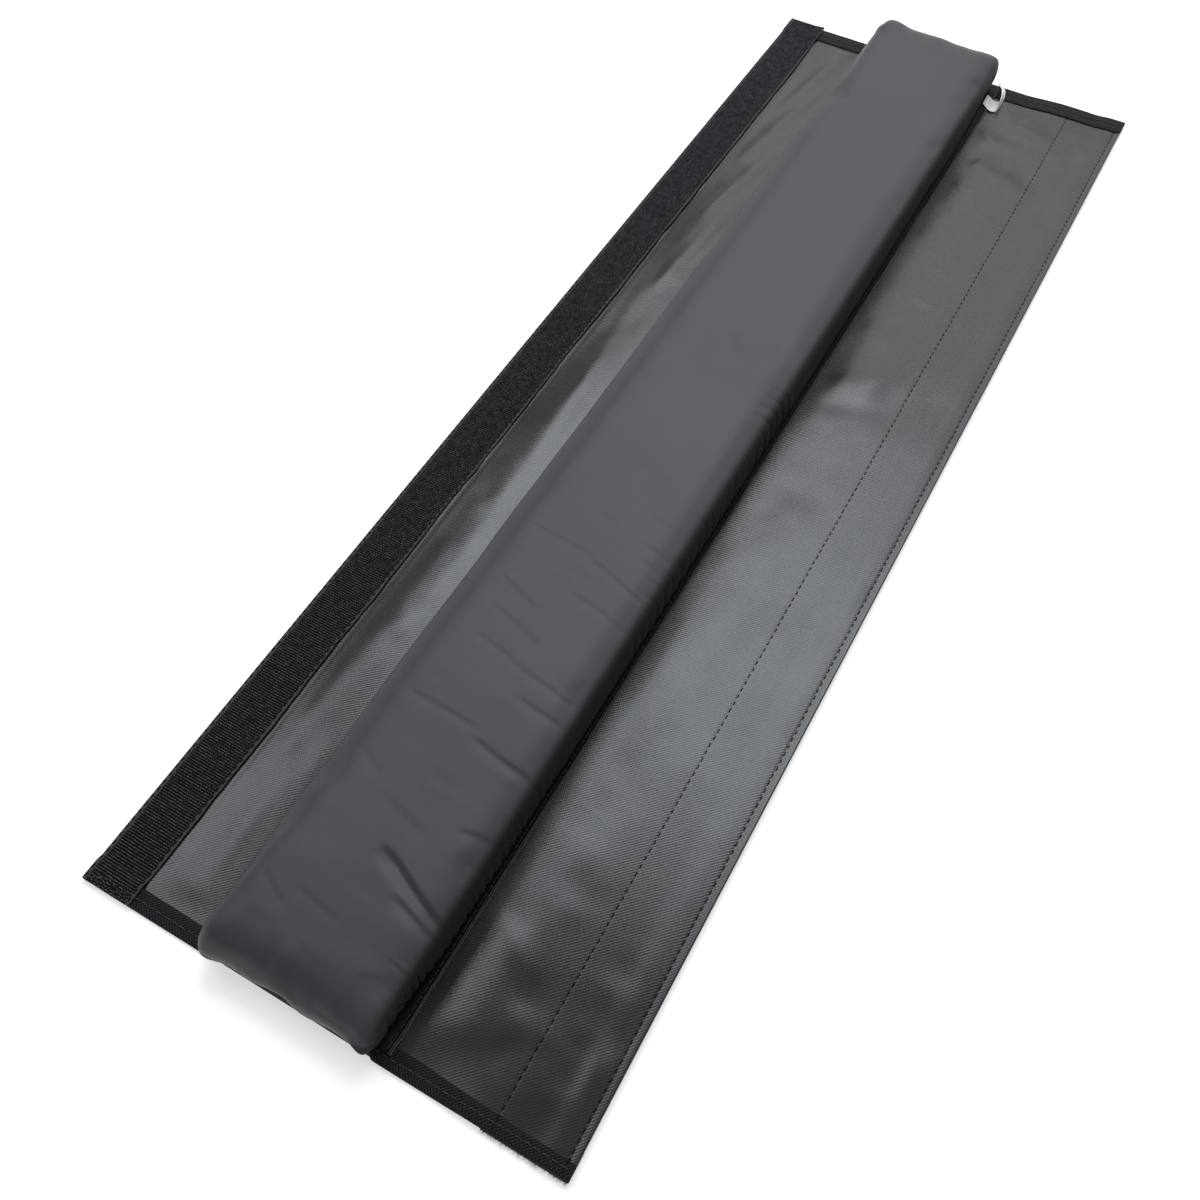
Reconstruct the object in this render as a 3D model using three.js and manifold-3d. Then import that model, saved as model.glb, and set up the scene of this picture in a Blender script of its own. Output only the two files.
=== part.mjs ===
// Roof rack pad: a cover that wraps round a roof bar, with a foam pad in a sleeve on its inner face.
// It lies opened out with the inner face up. Sizes are in millimetres.
// +Z is up, +Y runs along the pad and +X points to the flap with the loop tape.
// The origin is on the floor, under the middle of the outline.

import * as THREE from 'three';
import { mergeVertices } from 'three/addons/utils/BufferGeometryUtils.js';
import Module from 'manifold-3d';

// Length over both end bindings
const length = 711;

// Widths across the opened pad, from its left edge to its right edge
const hookTapeInset = 0.4;
const hookTapeWidth = 25;
const leftBandWidth = 37.6;
const padWidth = 88.4;
const flangeWidth = 2;
const rightBandWidth = 44.1;
const loopTapeWidth = 38;
const loopTapeInset = 0.5;

// Cloth and tapes
const coverThickness = 0.6;
const bindingThickness = 0.8;
const bindingBevel = 0.4;
const bindingTapeWidth = 23.2;
const nearBindingWidth = 9;
const farBindingWidth = 13;
const loopTapeThickness = 2.4;
const hookGroundThickness = 0.5;
const hookFieldHeight = 1.3;
const selvageWidth = 1.7;
const sleeveThickness = 0.6;

// The right edge of the cover is folded under as a hem
const hemWidth = 8.5;
const hemRampRun = 6.5;
const hemGap = 0.3;

// The cover climbs onto the loop tape, and the tapes climb onto the end bindings
const loopRampRun = 8;
const liftRun = 4;

// Padding
const padHeight = 27;
const topCornerWidth = 7;
const topCornerHeight = 8;
const bottomCornerWidth = 7;
const bottomCornerHeight = 9;
const endRounding = 12;
const endTopDrop = 11;
const endBottomRise = 5;
const endSideInset = 2.5;
const foamClearance = 0.3;
const seamSlit = 0.3;
const seamOverlap = 1;
const slitEndInset = 12;
const flangeEndInset = 6;

// Puckers where the sleeve is gathered into its seam, and low waves in the cover's free bands
const puckerDepth = 1.6;
const puckerPitch = 18;
const puckerReach = 16;
const puckerEndGap = 1;
const waveHeight = 2.2;
const waveLength = 178;
const waveSlant = 0.6;
const waveEndInset = 18;
const waveFade = 40;
const bandSteps = 5;
const coverSteps = 44;

// Stitch rows
const threadWidth = 0.5;
const threadThickness = 0.3;
const hemStitchInset = 3.7;
const loopStitchInset = 4.1;
const hookStitchInset = 0.9;
const seamStitchInset = 2;
const bindingStitchInset = 1.5;
const threadEndInset = 1;

// Blank care label, a ribbon bent into a loop and caught in the sleeve's seam
const labelRibbonWidth = 11.5;
const labelRibbonThickness = 0.5;
const labelLoopLength = 34;
const labelLoopWidth = 7;
const labelFromEnd = 6;
const labelGap = 1;

// Places across the pad
const coverWidth = hookTapeInset + hookTapeWidth + leftBandWidth + padWidth + flangeWidth
  + rightBandWidth + loopTapeWidth + loopTapeInset;
const leftEdge = -coverWidth / 2;
const rightEdge = coverWidth / 2;
const hookLeft = leftEdge + hookTapeInset;
const hookRight = hookLeft + hookTapeWidth;
const padLeft = hookRight + leftBandWidth;
const padRight = padLeft + padWidth;
const flangeRight = padRight + flangeWidth;
const loopLeft = flangeRight + rightBandWidth;
const loopRight = loopLeft + loopTapeWidth;
const loopRampStart = loopLeft - loopRampRun;
const hemEdge = rightEdge - hemWidth;
const hemRampStart = hemEdge - hemRampRun;

// Places along the pad and heights
const endY = length / 2;
const coverEndY = endY - bindingThickness;
const coverBase = bindingThickness;
const coverTop = coverBase + coverThickness;
const bindingLift = bindingThickness + threadThickness;
const hemFoldRadius = coverThickness + hemGap / 2;
const hemRise = coverThickness + hemGap;
const flangeThickness = 2 * sleeveThickness + seamSlit;

// Each end binding is one tape folded off its middle, so its upper and lower legs differ.
// side is -1 for the near end and 1 for the far end.
const upperLeg = side => (side < 0 ? nearBindingWidth : farBindingWidth);
const lowerLeg = side => bindingTapeWidth - coverThickness - 2 * bindingThickness - upperLeg(side);
const upperLegY = side => endY - upperLeg(side);
const lowerLegY = side => endY - lowerLeg(side);
const liftStartY = side => upperLegY(side) - liftRun;

const wasm = await Module();
wasm.setup();

const clamp01 = value => Math.min(1, Math.max(0, value));
const smooth = value => value * value * (3 - 2 * value);

// Joins outlines of one point count, placed one after another, into a closed solid with flat ends
function loft(stations, outlineAt, place) {
  const outlines = stations.map(station => outlineAt(station));
  if (THREE.ShapeUtils.isClockWise(outlines[0])) outlines.forEach(outline => outline.reverse());
  const count = outlines[0].length;
  const positions = outlines.flatMap((outline, i) => outline.flatMap(p => place(p.x, p.y, stations[i])));
  const index = [];
  for (let s = 0; s + 1 < stations.length; s += 1) {
    for (let i = 0; i < count; i += 1) {
      const a = s * count + i;
      const b = s * count + (i + 1) % count;
      index.push(a, b, b + count, a, b + count, a + count);
    }
  }
  const last = (stations.length - 1) * count;
  for (const [a, b, c] of THREE.ShapeUtils.triangulateShape(outlines[0], [])) index.push(c, b, a);
  for (const [a, b, c] of THREE.ShapeUtils.triangulateShape(outlines.at(-1), [])) {
    index.push(last + a, last + b, last + c);
  }
  return facingOut(positions, index);
}

// Turns every face round if the solid's signed volume says that they point inwards
function facingOut(positions, index) {
  const corner = i => new THREE.Vector3().fromArray(positions, 3 * i);
  let volume = 0;
  for (let t = 0; t < index.length; t += 3) {
    volume += corner(index[t]).dot(corner(index[t + 1]).cross(corner(index[t + 2])));
  }
  const geometry = new THREE.BufferGeometry();
  geometry.setAttribute('position', new THREE.Float32BufferAttribute(positions, 3));
  geometry.setIndex(volume > 0 ? index : [...index].reverse());
  return geometry;
}

const alongY = (stations, outlineAt) => loft(stations, outlineAt, (x, z, y) => [x, y, z]);
const alongX = (stations, outlineAt) => loft(stations, outlineAt, (y, z, x) => [x, y, z]);
const points = pairs => pairs.map(([u, v]) => new THREE.Vector2(u, v));

function toManifold(geometry) {
  const merged = mergeVertices(geometry);
  return new wasm.Manifold(new wasm.Mesh({
    numProp: 3,
    vertProperties: merged.attributes.position.array,
    triVerts: new Uint32Array(merged.index.array),
  }));
}

function fromManifold(solid) {
  const mesh = solid.getMesh();
  const geometry = new THREE.BufferGeometry();
  geometry.setAttribute('position', new THREE.BufferAttribute(new Float32Array(mesh.vertProperties), 3));
  geometry.setIndex(new THREE.BufferAttribute(new Uint32Array(mesh.triVerts), 1));
  return geometry;
}

// Height of the cover's underside where it has no waves: flat, then up a ramp onto the loop tape
function undersideZ(x) {
  return coverBase + (loopTapeThickness - coverBase) * clamp01((x - loopRampStart) / loopRampRun);
}

// Height of the cover's inner face where it has no waves: it rises once more onto the folded hem
function topsideZ(x) {
  return undersideZ(x) + coverThickness + hemRise * clamp01((x - hemRampStart) / hemRampRun);
}

// Low waves that fade out at both edges of a free band and before the end bindings
function waveZ(x, y) {
  const left = clamp01((x - hookRight) / leftBandWidth);
  const right = clamp01((x - flangeRight) / rightBandWidth);
  const across = Math.sin(Math.PI * left) ** 2 + Math.sin(Math.PI * right) ** 2;
  const turns = 2 * Math.PI * (y - waveSlant * (x - padRight)) / waveLength;
  const along = 0.5 + 0.5 * Math.sin(turns);
  return waveHeight * across * along * smooth(clamp01((endY - waveEndInset - Math.abs(y)) / waveFade));
}

// How far a tape or the padding is lifted at y, where it passes over an end binding and its stitches
function liftZ(y) {
  return bindingLift * clamp01((Math.abs(y) - liftStartY(Math.sign(y))) / liftRun);
}

const steps = Array.from({ length: bandSteps + 1 }, (_, i) => i / bandSteps);
const bandXs = (start, width) => steps.map(step => start + width * step);

// Section of the cover at y, with the folded hem at its right edge
function coverOutline(y) {
  const bands = [...bandXs(hookRight, leftBandWidth), ...bandXs(flangeRight, rightBandWidth)];
  const xs = [leftEdge, ...bands, loopRampStart, hemRampStart].sort((a, b) => a - b);
  const lower = xs.map(x => [x, undersideZ(x) + waveZ(x, y)]);
  const upper = xs.map(x => [x, topsideZ(x) + waveZ(x, y)]).reverse();
  const foldX = rightEdge - hemFoldRadius;
  const foldZ = loopTapeThickness + hemFoldRadius;
  const fold = (radius, angles) => angles.map(degrees => {
    const angle = THREE.MathUtils.degToRad(degrees);
    return [foldX + radius * Math.cos(angle), foldZ + radius * Math.sin(angle)];
  });
  const hem = [
    [hemEdge, loopTapeThickness + hemRise],
    ...fold(hemGap / 2, [90, 0, -90]),
    [hemEdge, loopTapeThickness + coverThickness],
    [hemEdge, loopTapeThickness],
    ...fold(hemFoldRadius, [-90, -60, -30, 0, 30, 60, 90]),
    [hemEdge, loopTapeThickness + hemRise + coverThickness],
  ];
  return points([...lower, ...hem, ...upper]);
}

function coverGeometry() {
  const stations = Array.from({ length: coverSteps + 1 }, (_, i) => coverEndY * (2 * i / coverSteps - 1));
  return alongY(stations, coverOutline);
}

// Tape folded round one end of the cover: two legs and a wall, following the cover's section
function bindingGeometry(side) {
  const upper = upperLegY(side);
  const lower = lowerLegY(side);
  const stations = [leftEdge, loopRampStart, loopLeft, hemRampStart, hemEdge, rightEdge];
  return alongX(stations, x => {
    const low = undersideZ(x);
    const top = topsideZ(x);
    const section = [
      [upper, top], [upper, top + bindingThickness], [endY - bindingBevel, top + bindingThickness],
      [endY, top + bindingThickness - bindingBevel], [endY, low - bindingThickness + bindingBevel],
      [endY - bindingBevel, low - bindingThickness], [lower, low - bindingThickness], [lower, low],
      [coverEndY, low], [coverEndY, top],
    ];
    return points(section.map(([y, z]) => [side * y, z]));
  });
}

// Places along a strip: both ends, and where it starts and stops climbing onto each end binding
function overBindings(end) {
  const climbs = [-upperLegY(-1), -liftStartY(-1), liftStartY(1), upperLegY(1)];
  return [-end, ...climbs.filter(y => Math.abs(y) < end), end];
}

// Flat strip along the pad that climbs over both end bindings
function stripGeometry(x0, x1, z0, z1, end) {
  return alongY(overBindings(end), y => {
    const lift = liftZ(y);
    return points([[x0, z0 + lift], [x1, z0 + lift], [x1, z1 + lift], [x0, z1 + lift]]);
  });
}

// Hook tape: a thin woven ground with plain selvages, and the raised field of hooks between them
function hookStripGeometry() {
  return alongY(overBindings(endY), y => {
    const z = coverTop + liftZ(y);
    const ground = z + hookGroundThickness;
    const field = ground + hookFieldHeight;
    const fieldLeft = hookLeft + selvageWidth;
    const fieldRight = hookRight - selvageWidth;
    return points([
      [hookLeft, z], [hookRight, z], [hookRight, ground], [fieldRight, ground],
      [fieldRight, field], [fieldLeft, field], [fieldLeft, ground], [hookLeft, ground],
    ]);
  });
}

// Loop tape under the right flap, pressed thinner where it passes under the end bindings
function loopStripGeometry() {
  const pressed = loopTapeThickness - bindingThickness;
  const profile = points([
    [-endY, 0], [endY, 0], [endY, pressed], [lowerLegY(1), pressed], [lowerLegY(1), loopTapeThickness],
    [-lowerLegY(-1), loopTapeThickness], [-lowerLegY(-1), pressed], [-endY, pressed],
  ]);
  return alongX([loopLeft, loopRight], () => profile);
}

// 0 along the middle of the padding and 1 at its very end, on a quarter of an ellipse
function endRound(y, inset) {
  const along = clamp01((Math.abs(y) - (endY - endRounding)) / (endRounding - inset));
  return 1 - Math.sqrt(1 - along * along);
}

// Section of the padding at y, shrunk by inset: flat top and bottom, and elliptic corners.
// gathers pushes the lower right side out in small puckers.
function padOutline(y, inset, gathers) {
  const round = endRound(y, inset);
  const x0 = padLeft + inset + endSideInset * round;
  const x1 = padRight - inset - endSideInset * round;
  const z0 = coverTop + liftZ(y) + inset + endBottomRise * round;
  const z1 = coverTop + padHeight - inset - endTopDrop * round;
  const share = (z1 - z0) / (padHeight - 2 * inset);
  const topX = topCornerWidth - inset;
  const topZ = (topCornerHeight - inset) * share;
  const bottomX = bottomCornerWidth - inset;
  const bottomZ = (bottomCornerHeight - inset) * share;
  const corner = (cx, cz, rx, rz, from) => [0, 30, 60, 90].map(degrees => {
    const angle = THREE.MathUtils.degToRad(from + degrees);
    return [cx + rx * Math.cos(angle), cz + rz * Math.sin(angle)];
  });
  const outline = [
    ...corner(x1 - bottomX, z0 + bottomZ, bottomX, bottomZ, -90),
    ...corner(x1 - topX, z1 - topZ, topX, topZ, 0),
    ...corner(x0 + topX, z1 - topZ, topX, topZ, 90),
    ...corner(x0 + bottomX, z0 + bottomZ, bottomX, bottomZ, 180),
  ];
  const pucker = gathers * Math.abs(2 * (y / puckerPitch - Math.floor(y / puckerPitch)) - 1) * (1 - round);
  return points(outline.map(([x, z]) => {
    const low = clamp01(1 - (z - z0) / puckerReach);
    const side = clamp01((x - (x1 - bottomX)) / bottomX);
    return [x + pucker * low * side, z];
  }));
}

// Stations along the padding: its rounded ends, the places where it is lifted, and every half pucker
function padStations(inset, halfPuckers) {
  const ends = [0, 30, 55, 75, 90].map(degrees => {
    return endY - endRounding + (endRounding - inset) * Math.sin(THREE.MathUtils.degToRad(degrees));
  });
  const list = ends.flatMap(y => [-y, y]);
  for (const side of [-1, 1]) list.push(side * upperLegY(side), side * liftStartY(side));
  const step = puckerPitch / 2;
  const reach = Math.floor((Math.min(liftStartY(-1), liftStartY(1)) - puckerEndGap) / step);
  if (halfPuckers) {
    for (let i = -reach; i <= reach; i += 1) list.push(i * step);
  }
  return list.sort((a, b) => a - b);
}

function padSolid(inset, gathers) {
  return alongY(padStations(inset, gathers > 0), y => padOutline(y, inset, gathers));
}

// Sleeve: a skin round the foam, whose two layers meet in the seam flange with a slit between them
function sleeveGeometry() {
  const flangeStart = padRight - bottomCornerWidth - seamOverlap;
  const flangeEnd = endY - flangeEndInset;
  const flange = stripGeometry(flangeStart, flangeRight, coverTop, coverTop + flangeThickness, flangeEnd);
  const slitBase = coverTop + sleeveThickness;
  const slitRight = flangeRight + seamOverlap;
  const slitEnd = endY - slitEndInset;
  const slit = stripGeometry(flangeStart, slitRight, slitBase, slitBase + seamSlit, slitEnd);
  const skin = toManifold(padSolid(0, puckerDepth)).add(toManifold(flange));
  return fromManifold(skin.subtract(toManifold(padSolid(sleeveThickness, 0))).subtract(toManifold(slit)));
}

// Straight stitch row along the pad, on a surface at height z
function threadAlong(x, z, end) {
  return stripGeometry(x - threadWidth / 2, x + threadWidth / 2, z, z + threadThickness, end);
}

// Stitch row on one end binding from the left edge to the right edge, under the tapes and the padding
function bindingThreadGeometry(side) {
  const y = upperLegY(side) + bindingStitchInset;
  const start = leftEdge + threadEndInset;
  const end = rightEdge - threadEndInset;
  const stations = [start, loopRampStart, loopLeft, hemRampStart, hemEdge, end];
  return alongX(stations, x => {
    const z = topsideZ(x) + bindingThickness;
    const near = side * (y - threadWidth / 2);
    const far = side * (y + threadWidth / 2);
    return points([[near, z], [far, z], [far, z + threadThickness], [near, z + threadThickness]]);
  });
}

// Ribbon standing on its edge, bent into a loop whose two ends meet the sleeve
function labelGeometry() {
  const x0 = padRight + labelGap;
  const x1 = x0 + labelLoopWidth;
  const farY = endY - labelFromEnd;
  const nearY = farY - labelLoopLength;
  const radius = labelLoopWidth / 2;
  const arc = r => [180, 210, 240, 270, 300, 330, 360].map(degrees => {
    const angle = THREE.MathUtils.degToRad(degrees);
    return [x0 + radius + r * Math.cos(angle), nearY + radius + r * Math.sin(angle)];
  });
  const outer = arc(radius);
  const inner = arc(radius - labelRibbonThickness).reverse();
  const outline = [
    [x0, farY - radius], ...outer, [x1, farY - radius], [x0 + labelRibbonThickness, farY],
    [x0, farY - labelRibbonThickness], [x1 - labelRibbonThickness, farY - radius - labelRibbonThickness],
    ...inner, [x0 + labelRibbonThickness, farY - radius],
  ];
  const base = coverTop + bindingLift + flangeThickness;
  return loft([base, base + labelRibbonWidth], () => points(outline), (x, y, z) => [x, y, z]);
}

// Visible colour and roughness of each material
const looks = {
  cover: { color: 0x5a5b5f, roughness: 0.42 },
  hooks: { color: 0x1b1c1f, roughness: 0.8 },
  loops: { color: 0x1b1c1f, roughness: 0.95 },
  binding: { color: 0x1b1c1f, roughness: 0.85 },
  sleeve: { color: 0x4b4c50, roughness: 0.5 },
  foam: { color: 0x2d2e30, roughness: 0.95 },
  thread: { color: 0x141416, roughness: 0.7 },
  label: { color: 0xf1f1ee, roughness: 0.6 },
};

const part = new THREE.Group();
function addPiece(name, geometry, look) {
  const mesh = new THREE.Mesh(geometry, new THREE.MeshStandardMaterial({ ...looks[look], metalness: 0 }));
  mesh.name = name;
  part.add(mesh);
}

addPiece('cover_sheet', coverGeometry(), 'cover');
addPiece('hook_strip', hookStripGeometry(), 'hooks');
addPiece('loop_strip', loopStripGeometry(), 'loops');
addPiece('end_binding_near', bindingGeometry(-1), 'binding');
addPiece('end_binding_far', bindingGeometry(1), 'binding');
addPiece('pad_sleeve', sleeveGeometry(), 'sleeve');
addPiece('foam_core', padSolid(sleeveThickness + foamClearance, 0), 'foam');
addPiece('care_label', labelGeometry(), 'label');

const seamRowX = flangeRight - seamStitchInset;
const hookGroundTop = coverTop + hookGroundThickness;
const loopRowTop = loopTapeThickness + coverThickness;
const hemTop = loopRowTop + hemRise;
const flangeTop = coverTop + flangeThickness;
addPiece('hook_thread_outer', threadAlong(hookLeft + hookStitchInset, hookGroundTop, endY), 'thread');
addPiece('hook_thread_inner', threadAlong(hookRight - hookStitchInset, hookGroundTop, endY), 'thread');
addPiece('hem_thread', threadAlong(rightEdge - hemStitchInset, hemTop, endY), 'thread');
addPiece('loop_thread', threadAlong(loopLeft + loopStitchInset, loopRowTop, endY), 'thread');
addPiece('sleeve_thread', threadAlong(seamRowX, flangeTop, endY - flangeEndInset), 'thread');
addPiece('binding_thread_near', bindingThreadGeometry(-1), 'thread');
addPiece('binding_thread_far', bindingThreadGeometry(1), 'thread');

export default part;
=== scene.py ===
import math

import bpy
import numpy as np
from mathutils import Matrix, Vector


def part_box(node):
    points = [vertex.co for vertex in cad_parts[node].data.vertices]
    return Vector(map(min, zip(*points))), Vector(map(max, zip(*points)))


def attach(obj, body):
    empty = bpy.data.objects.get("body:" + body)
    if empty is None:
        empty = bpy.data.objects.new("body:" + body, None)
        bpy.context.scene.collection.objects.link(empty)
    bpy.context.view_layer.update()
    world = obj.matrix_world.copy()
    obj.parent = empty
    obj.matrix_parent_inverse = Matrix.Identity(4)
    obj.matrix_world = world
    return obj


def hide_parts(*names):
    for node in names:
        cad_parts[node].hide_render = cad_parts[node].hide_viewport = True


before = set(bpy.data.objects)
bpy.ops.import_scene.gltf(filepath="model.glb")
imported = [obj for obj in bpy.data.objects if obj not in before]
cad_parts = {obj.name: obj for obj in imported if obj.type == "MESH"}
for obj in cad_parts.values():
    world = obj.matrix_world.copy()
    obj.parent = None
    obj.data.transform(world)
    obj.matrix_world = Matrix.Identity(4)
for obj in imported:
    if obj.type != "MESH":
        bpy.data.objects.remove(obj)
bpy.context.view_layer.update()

bl_info = {
    "name": "Roof Rack Pad",
    "version": (1, 0, 0),
    "blender": (4, 5, 0),
    "location": "3D View > Sidebar > Roof Rack Pad",
    "description": "Builds a roof bar pad that lies opened out, with its tapes, padding and stitching",
    "category": "Object",
}

MM = 0.001


def span(node, axis):
    """Lowest and highest place of a CAD node along one axis, in millimetres."""
    low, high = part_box(node)
    return float(low[axis]) / MM, float(high[axis]) / MM


# Places across the pad and along it, in millimetres, read from the frame
LEFT_EDGE, RIGHT_EDGE = span("cover_sheet", 0)
HOOK_LEFT, HOOK_RIGHT = span("hook_strip", 0)
LOOP_LEFT, LOOP_RIGHT = span("loop_strip", 0)
PAD_LEFT, FLANGE_RIGHT = span("pad_sleeve", 0)
PAD_TOP = span("pad_sleeve", 2)[1]
FOAM_INSET = 0.9
PAD_RIGHT = span("foam_core", 0)[1] + FOAM_INSET
COVER_END = span("cover_sheet", 1)[1]
END = span("hook_strip", 1)[1]
SEAM_X = sum(span("sleeve_thread", 0)) / 2
SEAM_END = span("sleeve_thread", 1)[1]
HEM_ROW_X = sum(span("hem_thread", 0)) / 2
LOOP_ROW_X = sum(span("loop_thread", 0)) / 2

# Thicknesses and folds, in millimetres, as in the part's source. The ramps are longer, as the cloth bends
# softly over the loop tape and the hem.
COVER_BASE = 0.8
COVER_THICKNESS = 0.6
COVER_TOP = COVER_BASE + COVER_THICKNESS
BINDING_THICKNESS = 0.8
BINDING_LIFT = 1.1
NEAR_BINDING_WIDTH = 9.0
FAR_BINDING_WIDTH = 13.0
BINDING_TAPE_WIDTH = 21.0
LIFT_RUN = 4.0
LOOP_THICKNESS = 2.4
LOOP_RAMP = 30.0
HEM_WIDTH = 8.5
HEM_RAMP = 11.0
HEM_GAP = 0.3
HEM_RISE = COVER_THICKNESS + HEM_GAP
HEM_EDGE = RIGHT_EDGE - HEM_WIDTH
SELVAGE_WIDTH = 1.7
HOOK_GROUND = 0.5
HERRINGBONE_LEG = 6.0

# Rows of hooks: the first row's distance from the end, hooks in a row, the size of one hook, and the
# stretch at the near end where the rows are crushed
FIRST_HOOK_ROW = 0.8
HOOKS_IN_A_ROW = 24
HOOK_HEIGHT = 1.0
HOOK_HALF_WIDTH = 0.36
HOOK_HALF_DEPTH = 0.20
CRUSHED_ROWS = 7.0

# Low waves of the cover's free bands: their length along the pad and how far they slant across it
WAVE_LENGTH = 178.0
WAVE_SLANT = 0.6

# The sewn padding pulls the near end in: how far the cover and the padding move, between which places
# across, and from which place along the pad on
NEAR_DRAW = 8.5
PADDING_DRAW = 1.5
DRAWN_LEFT = -48.0
DRAWN_RIGHT = 30.0
DRAWN_EASE = 10.0
DRAWN_FROM = END - 40.0
DRAWN_RUN = 35.0

# The padding: the run of its rounded ends, how much smaller it starts than the sleeve, and how much
# smaller the foam is. The simulation's mesh size and its count of frames follow.
ROUND_END = 14.0
START_INSET = 2.6
FOAM_BLOCK_INSET = 5.5
START_MESH = 4.0
SIMULATED_FRAMES = 20

# The photograph's camera, in metres: its place, the point that it looks at, and its roll
CAMERA_PLACE = (0.1540, -0.3993, 0.4895)
CAMERA_TARGET = (0.00206, -0.12690, 0.0)
CAMERA_ROLL = math.radians(0.435)

# Light that the floor gives off where it is seen, beside what it reflects
PAPER_GLOW = 0.5


def linear(text):
    """An sRGB hex colour as linear red, green and blue."""
    channels = [int(text[i:i + 2], 16) / 255 for i in (1, 3, 5)]
    return tuple(c / 12.92 if c <= 0.04045 else ((c + 0.055) / 1.055) ** 2.4 for c in channels)


def clamp01(value):
    """A value held between 0 and 1."""
    return np.clip(value, 0.0, 1.0)


def smooth(value):
    """Eases from 0 to 1: 3v^2 - 2v^3 of the clamped value."""
    value = clamp01(value)
    return value * value * (3 - 2 * value)


def bell(value):
    """1 at 0, falling off on both sides as exp(-v^2)."""
    return np.exp(-value * value)


def lattice_noise(u, v, seed):
    """Soft random height from -1 to 1: random numbers at whole (u, v), joined by eased weights."""
    values = np.random.RandomState(seed).uniform(-1, 1, (97, 97))
    u, v = np.broadcast_arrays(u, v)
    i = np.floor(u).astype(int)
    j = np.floor(v).astype(int)
    a = smooth(u - i)
    b = smooth(v - j)
    near = values[i % 97, j % 97] * (1 - a) + values[(i + 1) % 97, j % 97] * a
    far = values[i % 97, (j + 1) % 97] * (1 - a) + values[(i + 1) % 97, (j + 1) % 97] * a
    return near * (1 - b) + far * b


def crease(x, y, start, end, width, gentle=1.0):
    """A bell curve across the line from start to end, eased out over the last quarter at both ends.
    gentle makes its right side, seen along the line, that many times wider."""
    run = np.array(end, float) - np.array(start, float)
    length = math.hypot(run[0], run[1])
    along = ((x - start[0]) * run[0] + (y - start[1]) * run[1]) / length ** 2
    across = ((x - start[0]) * run[1] - (y - start[1]) * run[0]) / length
    width = np.where(across > 0, gentle * width, width)
    return bell(across / width) * smooth(4 * along) * smooth(4 * (1 - along))


def underside_z(x):
    """Height of the cover's underside: flat, then an eased ramp onto the loop tape."""
    return COVER_BASE + (LOOP_THICKNESS - COVER_BASE) * smooth((x - (LOOP_LEFT - LOOP_RAMP)) / LOOP_RAMP)


def topside_z(x):
    """Height of the cover's inner face: its underside, its thickness, and the rise onto the folded hem."""
    return underside_z(x) + COVER_THICKNESS + HEM_RISE * smooth((x - (HEM_EDGE - HEM_RAMP)) / HEM_RAMP)


def binding_inner(y):
    """Distance of an end binding's inner edge from the middle of the pad, at the end that y is near."""
    return np.where(np.asarray(y) < 0, END - NEAR_BINDING_WIDTH, END - FAR_BINDING_WIDTH)


def lift_z(y):
    """Lift of a tape or of the padding where it climbs onto an end binding."""
    return BINDING_LIFT * smooth((np.abs(y) - binding_inner(y) + LIFT_RUN) / LIFT_RUN)


def end_draw(x, y, amount):
    """How far the near end is pulled towards the middle of the pad by the sewn padding: the whole amount
    under the padding, eased out on both sides of it and along the pad."""
    across = smooth((x - DRAWN_LEFT) / DRAWN_EASE) * smooth((DRAWN_RIGHT - x) / DRAWN_EASE)
    return amount * across * smooth((-y - DRAWN_FROM) / DRAWN_RUN)


# Soft creases of the cover, as (start, end, half width, height) in millimetres
COVER_CREASES = (
    ((-60, -345), (-63, -228), 6.0, 1.6),
    ((-74, -338), (-70, -262), 5.0, 0.7),
    ((-84, -300), (-80, -120), 6.0, 0.5),
    ((-66, -215), (-72, 40), 6.0, 0.7),
    ((-78, 60), (-60, 190), 4.0, 1.6),
    ((-84, 130), (-58, 250), 4.0, 1.7),
    ((-87, 190), (-62, 310), 4.0, 1.9),
    ((-86, 250), (-64, 345), 4.0, 1.8),
    ((-76, 215), (-60, 260), 2.5, 0.9),
    ((-70, -60), (-86, 110), 5.0, 0.8),
    ((40, -90), (70, -20), 12.0, 0.7),
    ((38, 56), (90, 80), 8.0, 0.8),
    ((38, 36), (86, 54), 7.0, -0.5),
    ((38, 108), (64, 96), 8.0, 0.6),
    ((36, 198), (50, 188), 2.0, 0.45),
    ((50, 188), (70, 160), 2.0, 0.45),
    ((63, 137), (73, 141), 1.8, 0.4),
    ((42, 249), (54, 241), 2.0, 0.45),
    ((52, 322), (84, 310), 7.0, 1.6),
    ((36, 306), (52, 294), 5.0, 1.2),
    ((46, 342), (74, 338), 5.0, -0.9),
    ((62, 268), (90, 248), 8.0, 1.4),
    ((84, 296), (108, 318), 7.0, 0.9),
    ((44, 274), (60, 262), 5.0, 0.8),
    ((70, 228), (84, 200), 5.0, 0.6),
)


# Small dents and bumps of the near right flap, as (x, y, half width, half length, slope). A falling
# slope catches the light and a rising one stays dark.
COVER_PATCHES = (
    (50, -284, 8, 8, 0.10),
    (54, -297, 10, 5, -0.05),
    (69, -311, 9, 9, 0.09),
    (75, -337, 11, 8, 0.13),
    (53, -336, 8, 8, -0.05),
    (84, -319, 7, 6, -0.06),
    (99, -330, 6, 8, 0.08),
    (110, -309, 6, 10, 0.08),
    (98, -309, 7, 5, -0.05),
    (104, -346, 10, 6, 0.06),
    (66, -262, 12, 8, 0.04),
    (98, -283, 10, 8, 0.04),
)


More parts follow.
